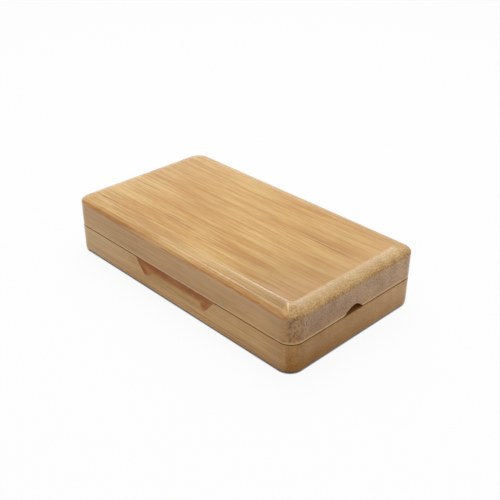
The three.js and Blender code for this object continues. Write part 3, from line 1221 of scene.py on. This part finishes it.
@dataclass
class Shell:
    """One milled half: a rounded block with a hollow and the cuts for its hardware."""

    half: Half
    finish: Bamboo
    face_inset: float
    face_drop: float
    rim_ease: float
    corner_radius: float = 5.2
    ring_share: float = 0.65
    hollow_corner: float = 3.0
    lining_clearance: float = 0.3
    glue_line: float = 0.1
    recess_depth: float = 1.4
    recess_reach: float = 0.3
    leaf_thickness: float = 0.6
    pocket_clearance: float = 0.12
    hole_clearance: float = 0.15
    shank_radius: float = 0.55
    tack_shank_radius: float = 0.45
    edge: float = 0.12
    corner_steps: int = 20
    rounding_steps: int = 28
    ease_steps: int = 5
    hollow_steps: int = 10
    hole_segments: int = 20
    pocket_segments: int = 40

    def box(self) -> Box:
        """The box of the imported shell."""
        return Box.of(self.half.node("shell"))

    def level(self, depth: float) -> float:
        """The height that lies depth beyond the rim, towards the outer face."""
        return self.box().levels(self.half)[0] + self.half.outward * depth

    def body(self) -> Solid:
        """The outer block.

        Returns:
            The block, eased at its rim and rounded at its outer face.
        """
        size = self.box().size
        ease, drop = self.rim_ease, self.face_drop
        rings = [(ease * (1 - cosine), ease * (1 - sine))
                 for cosine, sine in reversed(quarter(self.ease_steps))]
        rings += [(self.face_inset * (1 - cosine), size.z - drop * (1 - sine))
                  for cosine, sine in quarter(self.rounding_steps)]
        levels = []
        for inset, depth in rings:
            radius = self.corner_radius - inset * self.ring_share
            outline = rounded_outline(size.x - 2 * inset, size.y - 2 * inset, radius, self.corner_steps)
            levels.append((outline, self.level(depth)))
        return stack(levels)

    def hollow(self) -> Solid:
        """The cut that takes the lining.

        Returns:
            The cutter.
        """
        felt = Box.of(self.half.node("felt_pad"))
        spare = 2 * self.lining_clearance
        floor = felt.levels(self.half)[1] + self.half.outward * self.glue_line
        outline = rounded_outline(felt.size.x + spare, felt.size.y + spare, self.hollow_corner,
                                  self.hollow_steps)
        return stack([(outline, z) for z in sorted((floor, self.level(-OVERRUN)))])

    def hole(self, box: Box, radius: float) -> Solid:
        """The hole of a tack or a screw.

        Args:
            box: the space that the fastener holds.
            radius: of its shank.

        Returns:
            The cutter, from past its tip to the rim.
        """
        tip = box.levels(self.half)[1] + self.half.outward * self.hole_clearance
        return bar(radius + self.hole_clearance, tip, self.level(0), box.stem, Axis.UPRIGHT,
                   self.hole_segments)

    def band_cuts(self) -> list[Solid]:
        """The recess for the elastic band, and the holes of its tacks.

        Returns:
            The cutters.
        """
        band = Box.of(self.half.node("elastic_band"))
        side = self.recess_reach
        reach = band.high.y + side
        cuts = [block((band.low.x - side, -reach, self.level(self.recess_depth)),
                      (band.high.x + side, reach, self.level(-OVERRUN)))]
        for place in Place:
            tack = Box.of(self.half.node(f"tack_{place.value}"))
            cuts.append(self.hole(tack, self.tack_shank_radius))
        return cuts

    def pocket_cuts(self) -> list[Solid]:
        """The round pockets of the magnets.

        Returns:
            The cutters.
        """
        cuts = []
        for side in Side:
            magnet = Box.of(self.half.node(f"magnet_{side.value}"))
            end = magnet.levels(self.half)[1] + self.half.outward * self.pocket_clearance
            cuts.append(bar(magnet.size.x / 2 + self.pocket_clearance, end, self.level(-OVERRUN),
                            magnet.stem, Axis.UPRIGHT, self.pocket_segments))
        return cuts

    def hinge_cuts(self) -> list[Solid]:
        """The mortises of the hinge leaves, and the pilot holes of their screws.

        Returns:
            The cutters.
        """
        cuts = []
        for side in Side:
            hinge = ButtHinge(side)
            leaf = Box.of(hinge.leaf_node(self.half))
            centre_x = Box.of(hinge.node("pin")).centre.x
            half_length = leaf.size.x / 2 + self.hole_clearance
            depth = self.leaf_thickness + self.glue_line
            cuts.append(block((centre_x - half_length, leaf.low.y - self.hole_clearance,
                               self.level(depth)),
                              (centre_x + half_length, self.box().high.y + OVERRUN,
                               self.level(-OVERRUN))))
            cuts += [self.hole(Box.of(screw), self.shank_radius)
                     for screw in hinge.screw_nodes(self.half)]
        return cuts

    def own_cuts(self) -> list[Solid]:
        """Cuts that only this half has."""
        return []

    def make(self) -> list[Shown]:
        """Mills the half.

        Returns:
            The shell.
        """
        cutters = [self.hollow(), *self.band_cuts(), *self.pocket_cuts(), *self.hinge_cuts(),
                   *self.own_cuts()]
        solid = combined(self.body(), cutters, Joining.CUT)
        piece = Piece(self.half.node("shell"), self.half, "bamboo")
        return [piece.store(solid, self.finish.build(), edge=self.edge)]


@dataclass
class BaseShell(Shell):
    """The lower half, with a scoop for a fingertip in the top edge of its front."""

    scoop_centre: float = 0.7
    scoop_top: float = 39.6
    scoop_bottom: float = 31.0
    scoop_root: float = 17.0
    scoop_height: float = 5.3
    scoop_reach: float = 3.0
    scoop_steps: int = 24

    def own_cuts(self) -> list[Solid]:
        """The scoop: a ramp down and out to the front, between curved ends.

        Returns:
            The cutter.
        """
        face = self.box().low.y
        floor, top, above = (self.level(depth) for depth in (self.scoop_height, 0, -OVERRUN))
        points = []
        for side in (-1, 1):
            bottom_x = self.scoop_centre + side * self.scoop_bottom / 2
            top_x = self.scoop_centre + side * self.scoop_top / 2
            points += [(bottom_x, face, floor), (bottom_x, face - OVERRUN, floor),
                       (top_x, face - OVERRUN, top), (top_x, face - OVERRUN, above)]
            for cosine, sine in quarter(self.scoop_steps):
                curve = (self.scoop_top - self.scoop_root) / 2 * cosine
                x = self.scoop_centre + side * (self.scoop_root / 2 + curve)
                points += [(x, face + self.scoop_reach * sine, z) for z in (top, above)]
        return [hull(points)]


@dataclass
class LidShell(Shell):
    """The upper half, with a low bell-shaped vent in the lower edge of both ends."""

    vent_centre: float = -1.3
    vent_height: float = 2.7
    vent_front: float = 5.6
    vent_back: float = 4.9
    front_fullness: float = 0.5
    back_fullness: float = 0.75
    vent_steps: int = 32

    def own_cuts(self) -> list[Solid]:
        """The vents, cut as one along the whole case above the rim.

        Returns:
            The cutter.
        """
        section = [(self.vent_centre - self.vent_front, self.level(-OVERRUN))]
        for step in range(-self.vent_steps, self.vent_steps + 1):
            share = step / self.vent_steps
            reach = self.vent_front if share < 0 else self.vent_back
            fullness = self.front_fullness if share < 0 else self.back_fullness
            bell = max(0.0, (1 + math.cos(share * math.pi)) / 2) ** fullness
            section.append((self.vent_centre + share * reach, self.level(self.vent_height * bell)))
        section.append((self.vent_centre + self.vent_back, self.level(-OVERRUN)))
        end = self.box().high.x + OVERRUN
        return [drawn(section, -end, end)]


@dataclass
class Lining:
    """What lies in the hollow of a half: felt pad, glass plate and the ribs between the lanes."""

    half: Half
    corner_radius: float = 2.7
    felt_cell: float = 0.8
    felt_roll: float = 0.3
    felt_lift: float = 0.03
    felt_waves: float = 0.9
    felt_sharp: float = 80.0
    glass_seam: float = 0.25
    glass_corner_steps: int = 14
    glass_edge: float = 0.04
    glass_sharp: float = 25.0
    rib_round: float = 0.4
    rib_steps: int = 8
    rib_edge: float = 0.06

    def felt_spot(self, box: Box, x: float, y: float, side: int, border: float) -> Vector:
        """A point of the pad's upper or lower face.

        Args:
            box: the space that the pad holds.
            x, y: its place from the middle, before the corners are rounded.
            side: 1 for the upper face, -1 for the lower.
            border: 0 at the pad's border, where the face rolls off, and 1 within.

        Returns:
            The point.
        """
        half_x, half_y, half_z = box.size / 2
        radius = self.corner_radius
        over_x = max(0.0, abs(x) - half_x + radius)
        over_y = max(0.0, abs(y) - half_y + radius)
        if over_x > 0 and over_y > 0:
            pull = max(over_x, over_y) / math.hypot(over_x, over_y)
            x = math.copysign(half_x - radius + over_x * pull, x)
            y = math.copysign(half_y - radius + over_y * pull, y)
        uneven = self.felt_lift * (noise.noise(Vector((x, y, side)) * self.felt_waves) - 1)
        z = side * (half_z - self.felt_roll * (1 - border)) + side * uneven
        return box.centre + Vector((x, y, z))

    def felt(self) -> Shown:
        """The pad: a slab of felt with soft edges and a slightly uneven face.

        Returns:
            The pad.
        """
        box = Box.of(self.half.node("felt_pad"))
        columns, rows = (round(length / self.felt_cell) for length in box.size[:2])
        solid = bmesh.new()
        grid = {}
        for side in (1, -1):
            for i in range(columns + 1):
                for j in range(rows + 1):
                    x = (2 * i / columns - 1) * box.size.x / 2
                    y = (2 * j / rows - 1) * box.size.y / 2
                    border = min(1.0, min(i, j, columns - i, rows - j))
                    grid[side, i, j] = solid.verts.new(self.felt_spot(box, x, y, side, border))
            for i in range(columns):
                for j in range(rows):
                    corners = [(i, j), (i + 1, j), (i + 1, j + 1), (i, j + 1)]
                    solid.faces.new([grid[side, *corner] for corner in corners[::side]])
        loop = [(i, 0) for i in range(columns)] + [(columns, j) for j in range(rows)]
        loop += [(columns - i, rows) for i in range(columns)] + [(0, rows - j) for j in range(rows)]
        for near, far in zip(loop, loop[1:] + loop[:1]):
            solid.faces.new([grid[-1, *near], grid[-1, *far], grid[1, *far], grid[1, *near]])
        bmesh.ops.recalc_face_normals(solid, faces=solid.faces)
        pad = Piece(self.half.node("felt_pad"), self.half, "felt")
        shown = pad.store(solid, Felt().build(), sharp=self.felt_sharp)
        self.half.node("shell")
        return shown

    def glass(self) -> Shown:
        """The plate, with seamed edges.

        Returns:
            The plate.
        """
        node = self.half.node("glass_plate")
        box = Box.of(node)
        seam = self.glass_seam
        levels = []
        for inset, z in ((seam, box.low.z), (0.0, box.low.z + seam), (0.0, box.high.z - seam),
                         (seam, box.high.z)):
            outline = rounded_outline(box.size.x - 2 * inset, box.size.y - 2 * inset,
                                      self.corner_radius - inset, self.glass_corner_steps)
            levels.append((outline, z))
        return Piece(node, self.half, "glass").store(
            stack(levels, box.centre), PlateGlass().build(), self.glass_edge, self.glass_sharp)

    def rib(self, place: Place) -> Shown:
        """One rib, with its free edge rounded.

        Args:
            place: beside which lane it stands.

        Returns:
            The rib.
        """
        node = self.half.node(f"rib_{place.value}")
        box = Box.of(node)
        free, foot = box.levels(self.half)
        outward = self.half.outward
        section = [(box.low.y, foot), (box.high.y, foot)]
        for side, y in ((1, box.high.y), (-1, box.low.y)):
            arc = [(y - side * self.rib_round * (1 - cosine),
                    free + outward * self.rib_round * (1 - sine))
                   for cosine, sine in quarter(self.rib_steps)]
            section += arc[::side]
        solid = drawn(section, box.low.x, box.high.x)
        return Piece(node, self.half, "rib_bamboo").store(solid, Bamboo().build(), self.rib_edge)

    def make(self) -> list[Shown]:
        """Lays the pad, the plate and both ribs."""
        return [self.felt(), self.glass(), *(self.rib(place) for place in Place)]


@dataclass
class Strap:
    """The elastic band across the lanes, and the tacks at its ends."""

    half: Half
    ridges: int = 8
    ridge_points: int = 6
    ridge_depth: float = 0.07
    knot_depth: float = 0.03
    edge_round: float = 0.3
    step: float = 0.21
    pinch: float = 0.1
    pinch_reach: float = 2.2
    band_sharp: float = 60.0
    head_radius: float = 1.3
    head_height: float = 0.35
    head_seat: float = 0.96
    head_crown: float = 0.85
    shank_radius: float = 0.45
    point_length: float = 0.8
    dome_steps: int = 14
    tack_segments: int = 48
    tack_sharp: float = 40.0

    def face(self, box: Box, y: float, row: int, side: int) -> list[Vector]:
        """One side of the band's section.

        Args:
            box: the space that the band holds.
            y: the place along the band, from its middle.
            row: the number of the section.
            side: 1 for the upper side, -1 for the lower.

        Returns:
            The points across it.
        """
        half_x, half_y, half_z = box.size / 2
        count = self.ridges * self.ridge_points
        near = max(0.0, 1 - (half_y - abs(y)) / self.pinch_reach)
        points = []
        for i in range(count + 1):
            share = i / count
            x = (2 * share - 1) * (half_x - self.edge_round)
            wave = 0.5 - 0.5 * math.cos(2 * math.pi * self.ridges * share)
            knot = (row + int(share * self.ridges)) % 2 * self.knot_depth * wave
            drop = self.ridge_depth * (1 - wave) + knot + self.pinch * near * near
            points.append(box.centre + Vector((x, y, side * (half_z - drop))))
        return points

    def band(self) -> Shown:
        """The band: ridged along its length, with a fine knit across.

        Returns:
            The band.
        """
        node = self.half.node("elastic_band")
        box = Box.of(node)
        stations = round(box.size.y / self.step)
        rings = []
        for row in range(stations + 1):
            y = (2 * row / stations - 1) * box.size.y / 2
            right, left = (box.centre + Vector((side * box.size.x / 2, y, 0)) for side in (1, -1))
            rings.append([*self.face(box, y, row, 1), right, *self.face(box, y, row, -1)[::-1], left])
        return Piece(node, self.half, "elastic").store(loft(rings), WovenElastic().build(),
                                                       sharp=self.band_sharp)

    def tack(self, place: Place) -> Shown:
        """One tack, with a domed head.

        Args:
            place: which end of the band it holds.

        Returns:
            The tack.
        """
        node = self.half.node(f"tack_{place.value}")
        box = Box.of(node)
        outward = self.half.outward
        crown, tip = box.levels(self.half)
        seat = crown + outward * self.head_height
        dome = self.head_height * self.head_crown
        profile = [(0.0, tip), (self.shank_radius, tip - outward * self.point_length),
                   (self.shank_radius, seat), (self.head_radius * self.head_seat, seat)]
        profile += [(self.head_radius * cosine, crown + outward * dome * (1 - sine))
                    for cosine, sine in quarter(self.dome_steps)]
        solid = turned(profile, box.stem, Axis.UPRIGHT, self.tack_segments)
        return Piece(node, self.half, "tack_brass").store(solid, TACK_BRASS.build(),
                                                          sharp=self.tack_sharp)

    def make(self) -> list[Shown]:
        """Fits the band and both tacks."""
        return [self.band(), *(self.tack(place) for place in Place)]


@dataclass
class Catch:
    """The two magnet discs in the front rim of a half."""

    half: Half
    chamfer: float = 0.14
    chamfer_bend: float = 0.3
    segments: int = 56
    sharp: float = 50.0

    def disc(self, side: Side) -> Shown:
        """One disc.

        Args:
            side: which of the two.

        Returns:
            The disc.
        """
        node = self.half.node(f"magnet_{side.value}")
        box = Box.of(node)
        radius = box.size.x / 2
        bend = self.chamfer * self.chamfer_bend
        corner = [(self.chamfer, 0.0), (bend, bend), (0.0, self.chamfer)]
        profile = [(0.0, box.low.z), *((radius - inset, box.low.z + up) for inset, up in corner),
                   *((radius - inset, box.high.z - up) for inset, up in corner[::-1]),
                   (0.0, box.high.z)]
        solid = turned(profile, box.stem, Axis.UPRIGHT, self.segments)
        return Piece(node, self.half, "nickel").store(solid, NICKEL.build(), sharp=self.sharp)

    def make(self) -> list[Shown]:
        """Sets both discs."""
        return [self.disc(side) for side in Side]


@dataclass
class ButtHinge:
    """One small butt hinge: two leaves, a pin and four screws."""

    side: Side
    leaf_thickness: float = 0.6
    leaf_depth: float = 3.9
    leaf_corner: float = 0.5
    leaf_corner_steps: int = 8
    leaf_edge: float = 0.02
    knuckle_radius: float = 1.1
    knuckle_gap: float = 0.2
    knuckle_count: int = 3
    knuckle_segments: int = 56
    hole_segments: int = 40
    pin_clearance: float = 0.1
    pin_dome: float = 0.45
    pin_steps: int = 8
    pin_segments: int = 36
    pin_sharp: float = 60.0
    roll_slit: float = 0.1
    slit_place: float = 0.55
    slit_skin: float = 0.02
    screw_head_radius: float = 1.15
    screw_head_depth: float = 0.5
    screw_head_chamfer: float = 0.03
    screw_shank_radius: float = 0.55
    screw_point: float = 0.9
    screw_clearance: float = 0.15
    screw_sinking: float = 0.05
    screw_segments: int = 40
    screw_sharp: float = 30.0
    slot_width: float = 0.32
    slot_depth: float = 0.22
    thread_pitch: float = 0.45
    thread_depth: float = 0.08
    thread_start: float = 0.3
    thread_ramp: float = 0.35

    def node(self, piece: str) -> str:
        """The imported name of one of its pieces."""
        return f"{self.side.value}_hinge_{piece}"

    def leaf_node(self, half: Half) -> str:
        """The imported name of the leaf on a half."""
        return self.node(f"{half.value}_leaf")

    def screw_nodes(self, half: Half) -> list[str]:
        """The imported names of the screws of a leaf."""
        return [self.node(f"{half.value}_screw_{place.value}") for place in Side]

    def leaf(self, half: Half, places: Sequence[int]) -> Shown:
        """A leaf with its rolled knuckles and countersinks.

        Args:
            half: the half that it is screwed to.
            places: which knuckles along the pin are its own.

        Returns:
            The leaf.
        """
        node = self.leaf_node(half)
        length = Box.of(self.leaf_node(Half.BASE)).size.x
        pin = Box.of(self.node("pin"))
        axis = pin.centre
        bore = pin.size.y / 2 + self.pin_clearance
        shell = Box.of(half.node("shell"))
        outward = half.outward
        rim = shell.levels(half)[0]
        sole = rim + outward * self.leaf_thickness
        middle = Vector((axis.x, shell.high.y - self.leaf_depth / 2, 0))
        outline = rounded_outline(length, self.leaf_depth, self.leaf_corner, self.leaf_corner_steps)
        body = stack([(outline, z) for z in sorted((rim, sole))], middle)
        knuckle = (length - (self.knuckle_count - 1) * self.knuckle_gap) / self.knuckle_count
        slit_y = axis.y - self.knuckle_radius * self.slit_place
        slit_foot = sole + outward * self.slit_skin
        slit_end = axis.z + outward * (bore + self.knuckle_radius)
        added = []
        cutters = [bar(bore, -length, length, axis, Axis.ALONG, self.hole_segments)]
        for place in places:
            offset = (place - (self.knuckle_count - 1) / 2) * (knuckle + self.knuckle_gap)
            x = axis.x + offset
            start, end = offset - knuckle / 2, offset + knuckle / 2
            added.append(block((axis.x + start, middle.y, rim), (axis.x + end, axis.y, sole)))
            added.append(bar(self.knuckle_radius, start, end, axis, Axis.ALONG, self.knuckle_segments))
            cutters.append(block((x - knuckle, slit_y, slit_foot),
                                 (x + knuckle, slit_y + self.roll_slit, slit_end)))
        head = self.screw_head_radius + self.screw_clearance
        shank = self.screw_shank_radius + self.screw_clearance
        depth = self.screw_head_depth + self.screw_sinking
        profile = [(head, -outward * OVERRUN), (head, 0.0), (shank, outward * depth),
                   (shank, outward * OVERRUN)]
        for screw in self.screw_nodes(half):
            centre = Box.of(screw).stem + Vector((0, 0, rim))
            cutters.append(turned(profile, centre, Axis.UPRIGHT, self.hole_segments))
        solid = combined(combined(body, added, Joining.UNITE), cutters, Joining.CUT)
        return Piece(node, half, "hinge_brass").store(solid, BRASS.build(), self.leaf_edge)

    def pin(self) -> Shown:
        """The pin, with domed ends.

        Returns:
            The pin.
        """
        node = self.node("pin")
        box = Box.of(node)
        radius, reach = box.size.y / 2, box.size.x / 2
        ends = [(radius * sine, radius * self.pin_dome * (1 - cosine))
                for cosine, sine in quarter(self.pin_steps)]
        profile = [(r, depth - reach) for r, depth in ends]
        profile += [(r, reach - depth) for r, depth in reversed(ends)]
        solid = turned(profile, box.centre, Axis.ALONG, self.pin_segments)
        return Piece(node, Half.BASE, "pin_steel").store(solid, STEEL.build(), sharp=self.pin_sharp)

    def screw(self, node: str, half: Half) -> Shown:
        """One countersunk screw with a slotted head.

        Args:
            node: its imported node.
            half: the half that it holds to.

        Returns:
            The screw.
        """
        box = Box.of(node)
        outward = half.outward
        head, tip = box.levels(half)
        neck = head + outward * self.screw_head_depth
        chamfer = self.screw_head_chamfer
        root = self.screw_shank_radius - self.thread_depth
        profile = [(0.0, head), (self.screw_head_radius - chamfer, head),
                   (self.screw_head_radius, head + outward * chamfer),
                   (self.screw_shank_radius, neck)]
        for turn in range(int((abs(tip - neck) - self.screw_point) / self.thread_pitch)):
            start = neck + outward * (turn + self.thread_start) * self.thread_pitch
            crest = start + outward * self.thread_ramp * self.thread_pitch
            profile += [(root, start), (self.screw_shank_radius, crest)]
        profile += [(root, tip - outward * self.screw_point), (0.0, tip)]
        solid = turned(profile, box.stem, Axis.UPRIGHT, self.screw_segments)
        reach = Vector((self.screw_head_radius + OVERRUN, self.slot_width / 2, 0))
        groove = block(box.stem - reach + Vector((0, 0, head + outward * self.slot_depth)),
                       box.stem + reach + Vector((0, 0, head - outward * OVERRUN)))
        return Piece(node, half, "hinge_brass").store(combined(solid, [groove], Joining.CUT),
                                                      BRASS.build(), sharp=self.screw_sharp)

    def make(self) -> list[Shown]:
        """Builds the leaves, the pin and the screws."""
        return [self.leaf(Half.BASE, (0, 2)), self.leaf(Half.LID, (1,)), self.pin(),
                *(self.screw(node, half) for half in Half for node in self.screw_nodes(half))]


# Stage


@dataclass(frozen=True)
class Viewpoint:
    """Where the camera stands and what it looks at: degrees, and millimetres from the target."""

    azimuth: float = 45.433
    elevation: float = 30.286
    roll: float = 0.509
    distance: float = 281.183
    lens: float = 58.043
    nearest: float = 0.01
    furthest: float = 20.0

    def make(self) -> Shown:
        """Sets up the camera.

        Returns:
            The camera.
        """
        azimuth, elevation, roll = (math.radians(a) for a in (self.azimuth, self.elevation, self.roll))
        back = Vector((math.sin(azimuth) * math.cos(elevation),
                       -math.cos(azimuth) * math.cos(elevation), math.sin(elevation)))
        level = (-back).cross(Vector((0, 0, 1))).normalized()
        upward = level.cross(-back)
        right = level * math.cos(roll) + upward * math.sin(roll)
        top = upward * math.cos(roll) - level * math.sin(roll)
        data = bpy.data.cameras.new("camera")
        data.lens = self.lens
        data.clip_start = self.nearest
        data.clip_end = self.furthest
        camera = linked("camera", data)
        place = Matrix.Translation((Vector(LOOK_AT) + back * self.distance) * MM)
        camera.matrix_world = place @ Matrix((right, top, back)).transposed().to_4x4()
        bpy.context.scene.camera = camera
        return camera


class LampShape(Enum):
    """The outline of a flat lamp, with the share of its length times its breadth that it fills."""

    RECTANGLE = 1.0
    ELLIPSE = math.pi / 4


@dataclass(frozen=True)
class Lamp:
    """A flat lamp that faces the case, long between two directions.

    Its ends are given as directions from the case, its distance and breadth are in metres, and its
    radiance is in units where a lit white card shows as 1.
    """

    name: str
    start: tuple[float, float, float]
    stop: tuple[float, float, float]
    distance: float
    breadth: float
    radiance: float
    shape: LampShape = LampShape.RECTANGLE
    mirrored: bool = True

    def make(self) -> Shown:
        """Hangs the lamp.

        Returns:
            The lamp.
        """
        start, stop = (Vector(end).normalized() * self.distance for end in (self.start, self.stop))
        middle = (start + stop) / 2
        along = (stop - start).normalized()
        away = middle.normalized()
        data = bpy.data.lights.new(self.name, "AREA")
        data.shape = self.shape.name
        data.size = (stop - start).length
        data.size_y = self.breadth
        data.energy = self.radiance * math.pi * data.size * data.size_y * self.shape.value
        lamp = linked(self.name, data)
        lamp.visible_glossy = self.mirrored
        turn = Matrix((along, away.cross(along), away)).transposed().to_4x4()
        lamp.matrix_world = Matrix.Translation(middle + Vector(LOOK_AT) * MM) @ turn
        return lamp


@dataclass(frozen=True)
class Studio:
    """A pale floor, a white surround and soft lamps."""

    floor_half: float = 4.0
    floor_drop: float = 0.05
    floor_card: Colour = (0.9, 0.9, 0.9, 1.0)
    floor_white: float = 0.92
    contact_ease: float = 0.6
    surround: float = 0.56
    lamps: tuple[Lamp, ...] = (
        Lamp("key_softbox", (-0.55, 0.22, 1), (0.15, 0.22, 1), 0.55, 0.32, 3.2, mirrored=False),
        Lamp("end_softbox", (-0.47, 0.668, 0.577), (-0.36, 0.675, 0.636), 6.0, 1.45, 0.74),
        Lamp("end_middle", (-0.47, 0.668, 0.577), (-0.27, 0.668, 0.690), 6.0, 1.5, 0.55),
        Lamp("end_fill", (-0.50, 0.655, 0.565), (-0.13, 0.650, 0.745), 6.0, 1.5, 0.5),
        Lamp("edge_strip", (-0.640, 0.510, 0.575), (-0.5375, 0.6125, 0.578), 6.0, 0.32, 2.4,
             LampShape.ELLIPSE),
        Lamp("edge_core", (-0.590, 0.5635, 0.577), (-0.545, 0.605, 0.578), 6.0, 0.22, 2.6),
        Lamp("side_strip", (-0.6945, 0.2785, 0.6634), (-0.535, 0.180, 0.826), 6.0, 0.32, 3.8,
             LampShape.ELLIPSE),
        Lamp("corner_strip", (-0.545, 0.565, 0.62), (-0.27, 0.15, 0.951), 6.0, 0.16, 5.0),
    )

    def world(self) -> None:
        """Even light from all round, white where it is seen."""
        graph = Graph(bpy.data.worlds.new("surround"))
        light = graph.add("Background", {"Color": WHITE, "Strength": self.surround})
        seen = graph.add("Background", {"Color": WHITE, "Strength": 1.0})
        inputs = {0: graph.backdrop(), 1: light.outputs[0], 2: seen.outputs[0]}
        graph.end(graph.add("MixShader", inputs).outputs[0])
        bpy.context.scene.world = graph.owner

    def open_floor(self, graph: Graph) -> Socket:
        """Where the floor lies open.

        Args:
            graph: the floor's graph.

        Returns:
            1 beside the case's footprint and 0 below it.
        """
        box = Box.of(Half.BASE.node("shell"))
        radius = Shell.corner_radius
        past_x, past_y = (
            graph.math("MAXIMUM", graph.math("SUBTRACT", graph.math("ABSOLUTE", place),
                                             length / 2 - radius), 0.0)
            for place, length in zip(graph.parts(graph.millimetres()), box.size[:2]))
        across = graph.math("MULTIPLY", past_y, past_y)
        away = graph.math("SQRT", graph.scaled(past_x, past_x, across))
        return graph.rise(away, radius - self.contact_ease, radius)

    def floor(self) -> None:
        """The floor: pale, with the case's shadow, and close to white where it is seen."""
        reach = self.floor_half
        solid = bmesh.new()
        corners = [(-reach, -reach), (reach, -reach), (reach, reach), (-reach, reach)]
        solid.faces.new([solid.verts.new((x, y, -self.floor_drop * MM)) for x, y in corners])
        floor = linked("floor", meshed("floor", solid))
        graph = Graph(bpy.data.materials.new("floor"))
        card = graph.add("BsdfDiffuse", {"Color": self.floor_card})
        glow = graph.add("Emission", {"Color": WHITE})
        share = graph.product(graph.backdrop(), self.floor_white, self.open_floor(graph))
        inputs = {0: share, 1: card.outputs[0], 2: glow.outputs[0]}
        graph.end(graph.add("MixShader", inputs).outputs[0])
        floor.data.materials.append(graph.owner)

    def make(self) -> None:
        """Sets the stage."""
        self.world()
        self.floor()
        for lamp in self.lamps:
            lamp.make()
        bpy.context.scene.view_settings.view_transform = "Standard"


def main() -> None:
    """Builds the case and its stage."""
    logging.basicConfig(level=logging.INFO, format="%(name)s %(message)s")
    Viewpoint().make()
    Studio().make()
    assemblies = [
        BaseShell(Half.BASE, BaseBamboo(), face_inset=1.3, face_drop=1.3, rim_ease=0.35),
        LidShell(Half.LID, LidBamboo(), face_inset=6.0, face_drop=1.9, rim_ease=0.6),
        *(kind(half) for half in Half for kind in (Lining, Strap, Catch)),
        *(ButtHinge(side) for side in Side),
    ]
    for assembly in assemblies:
        for piece in assembly.make():
            log.info("%s: %d faces", piece.name, len(piece.data.polygons))


if __name__ == "__main__":
    main()
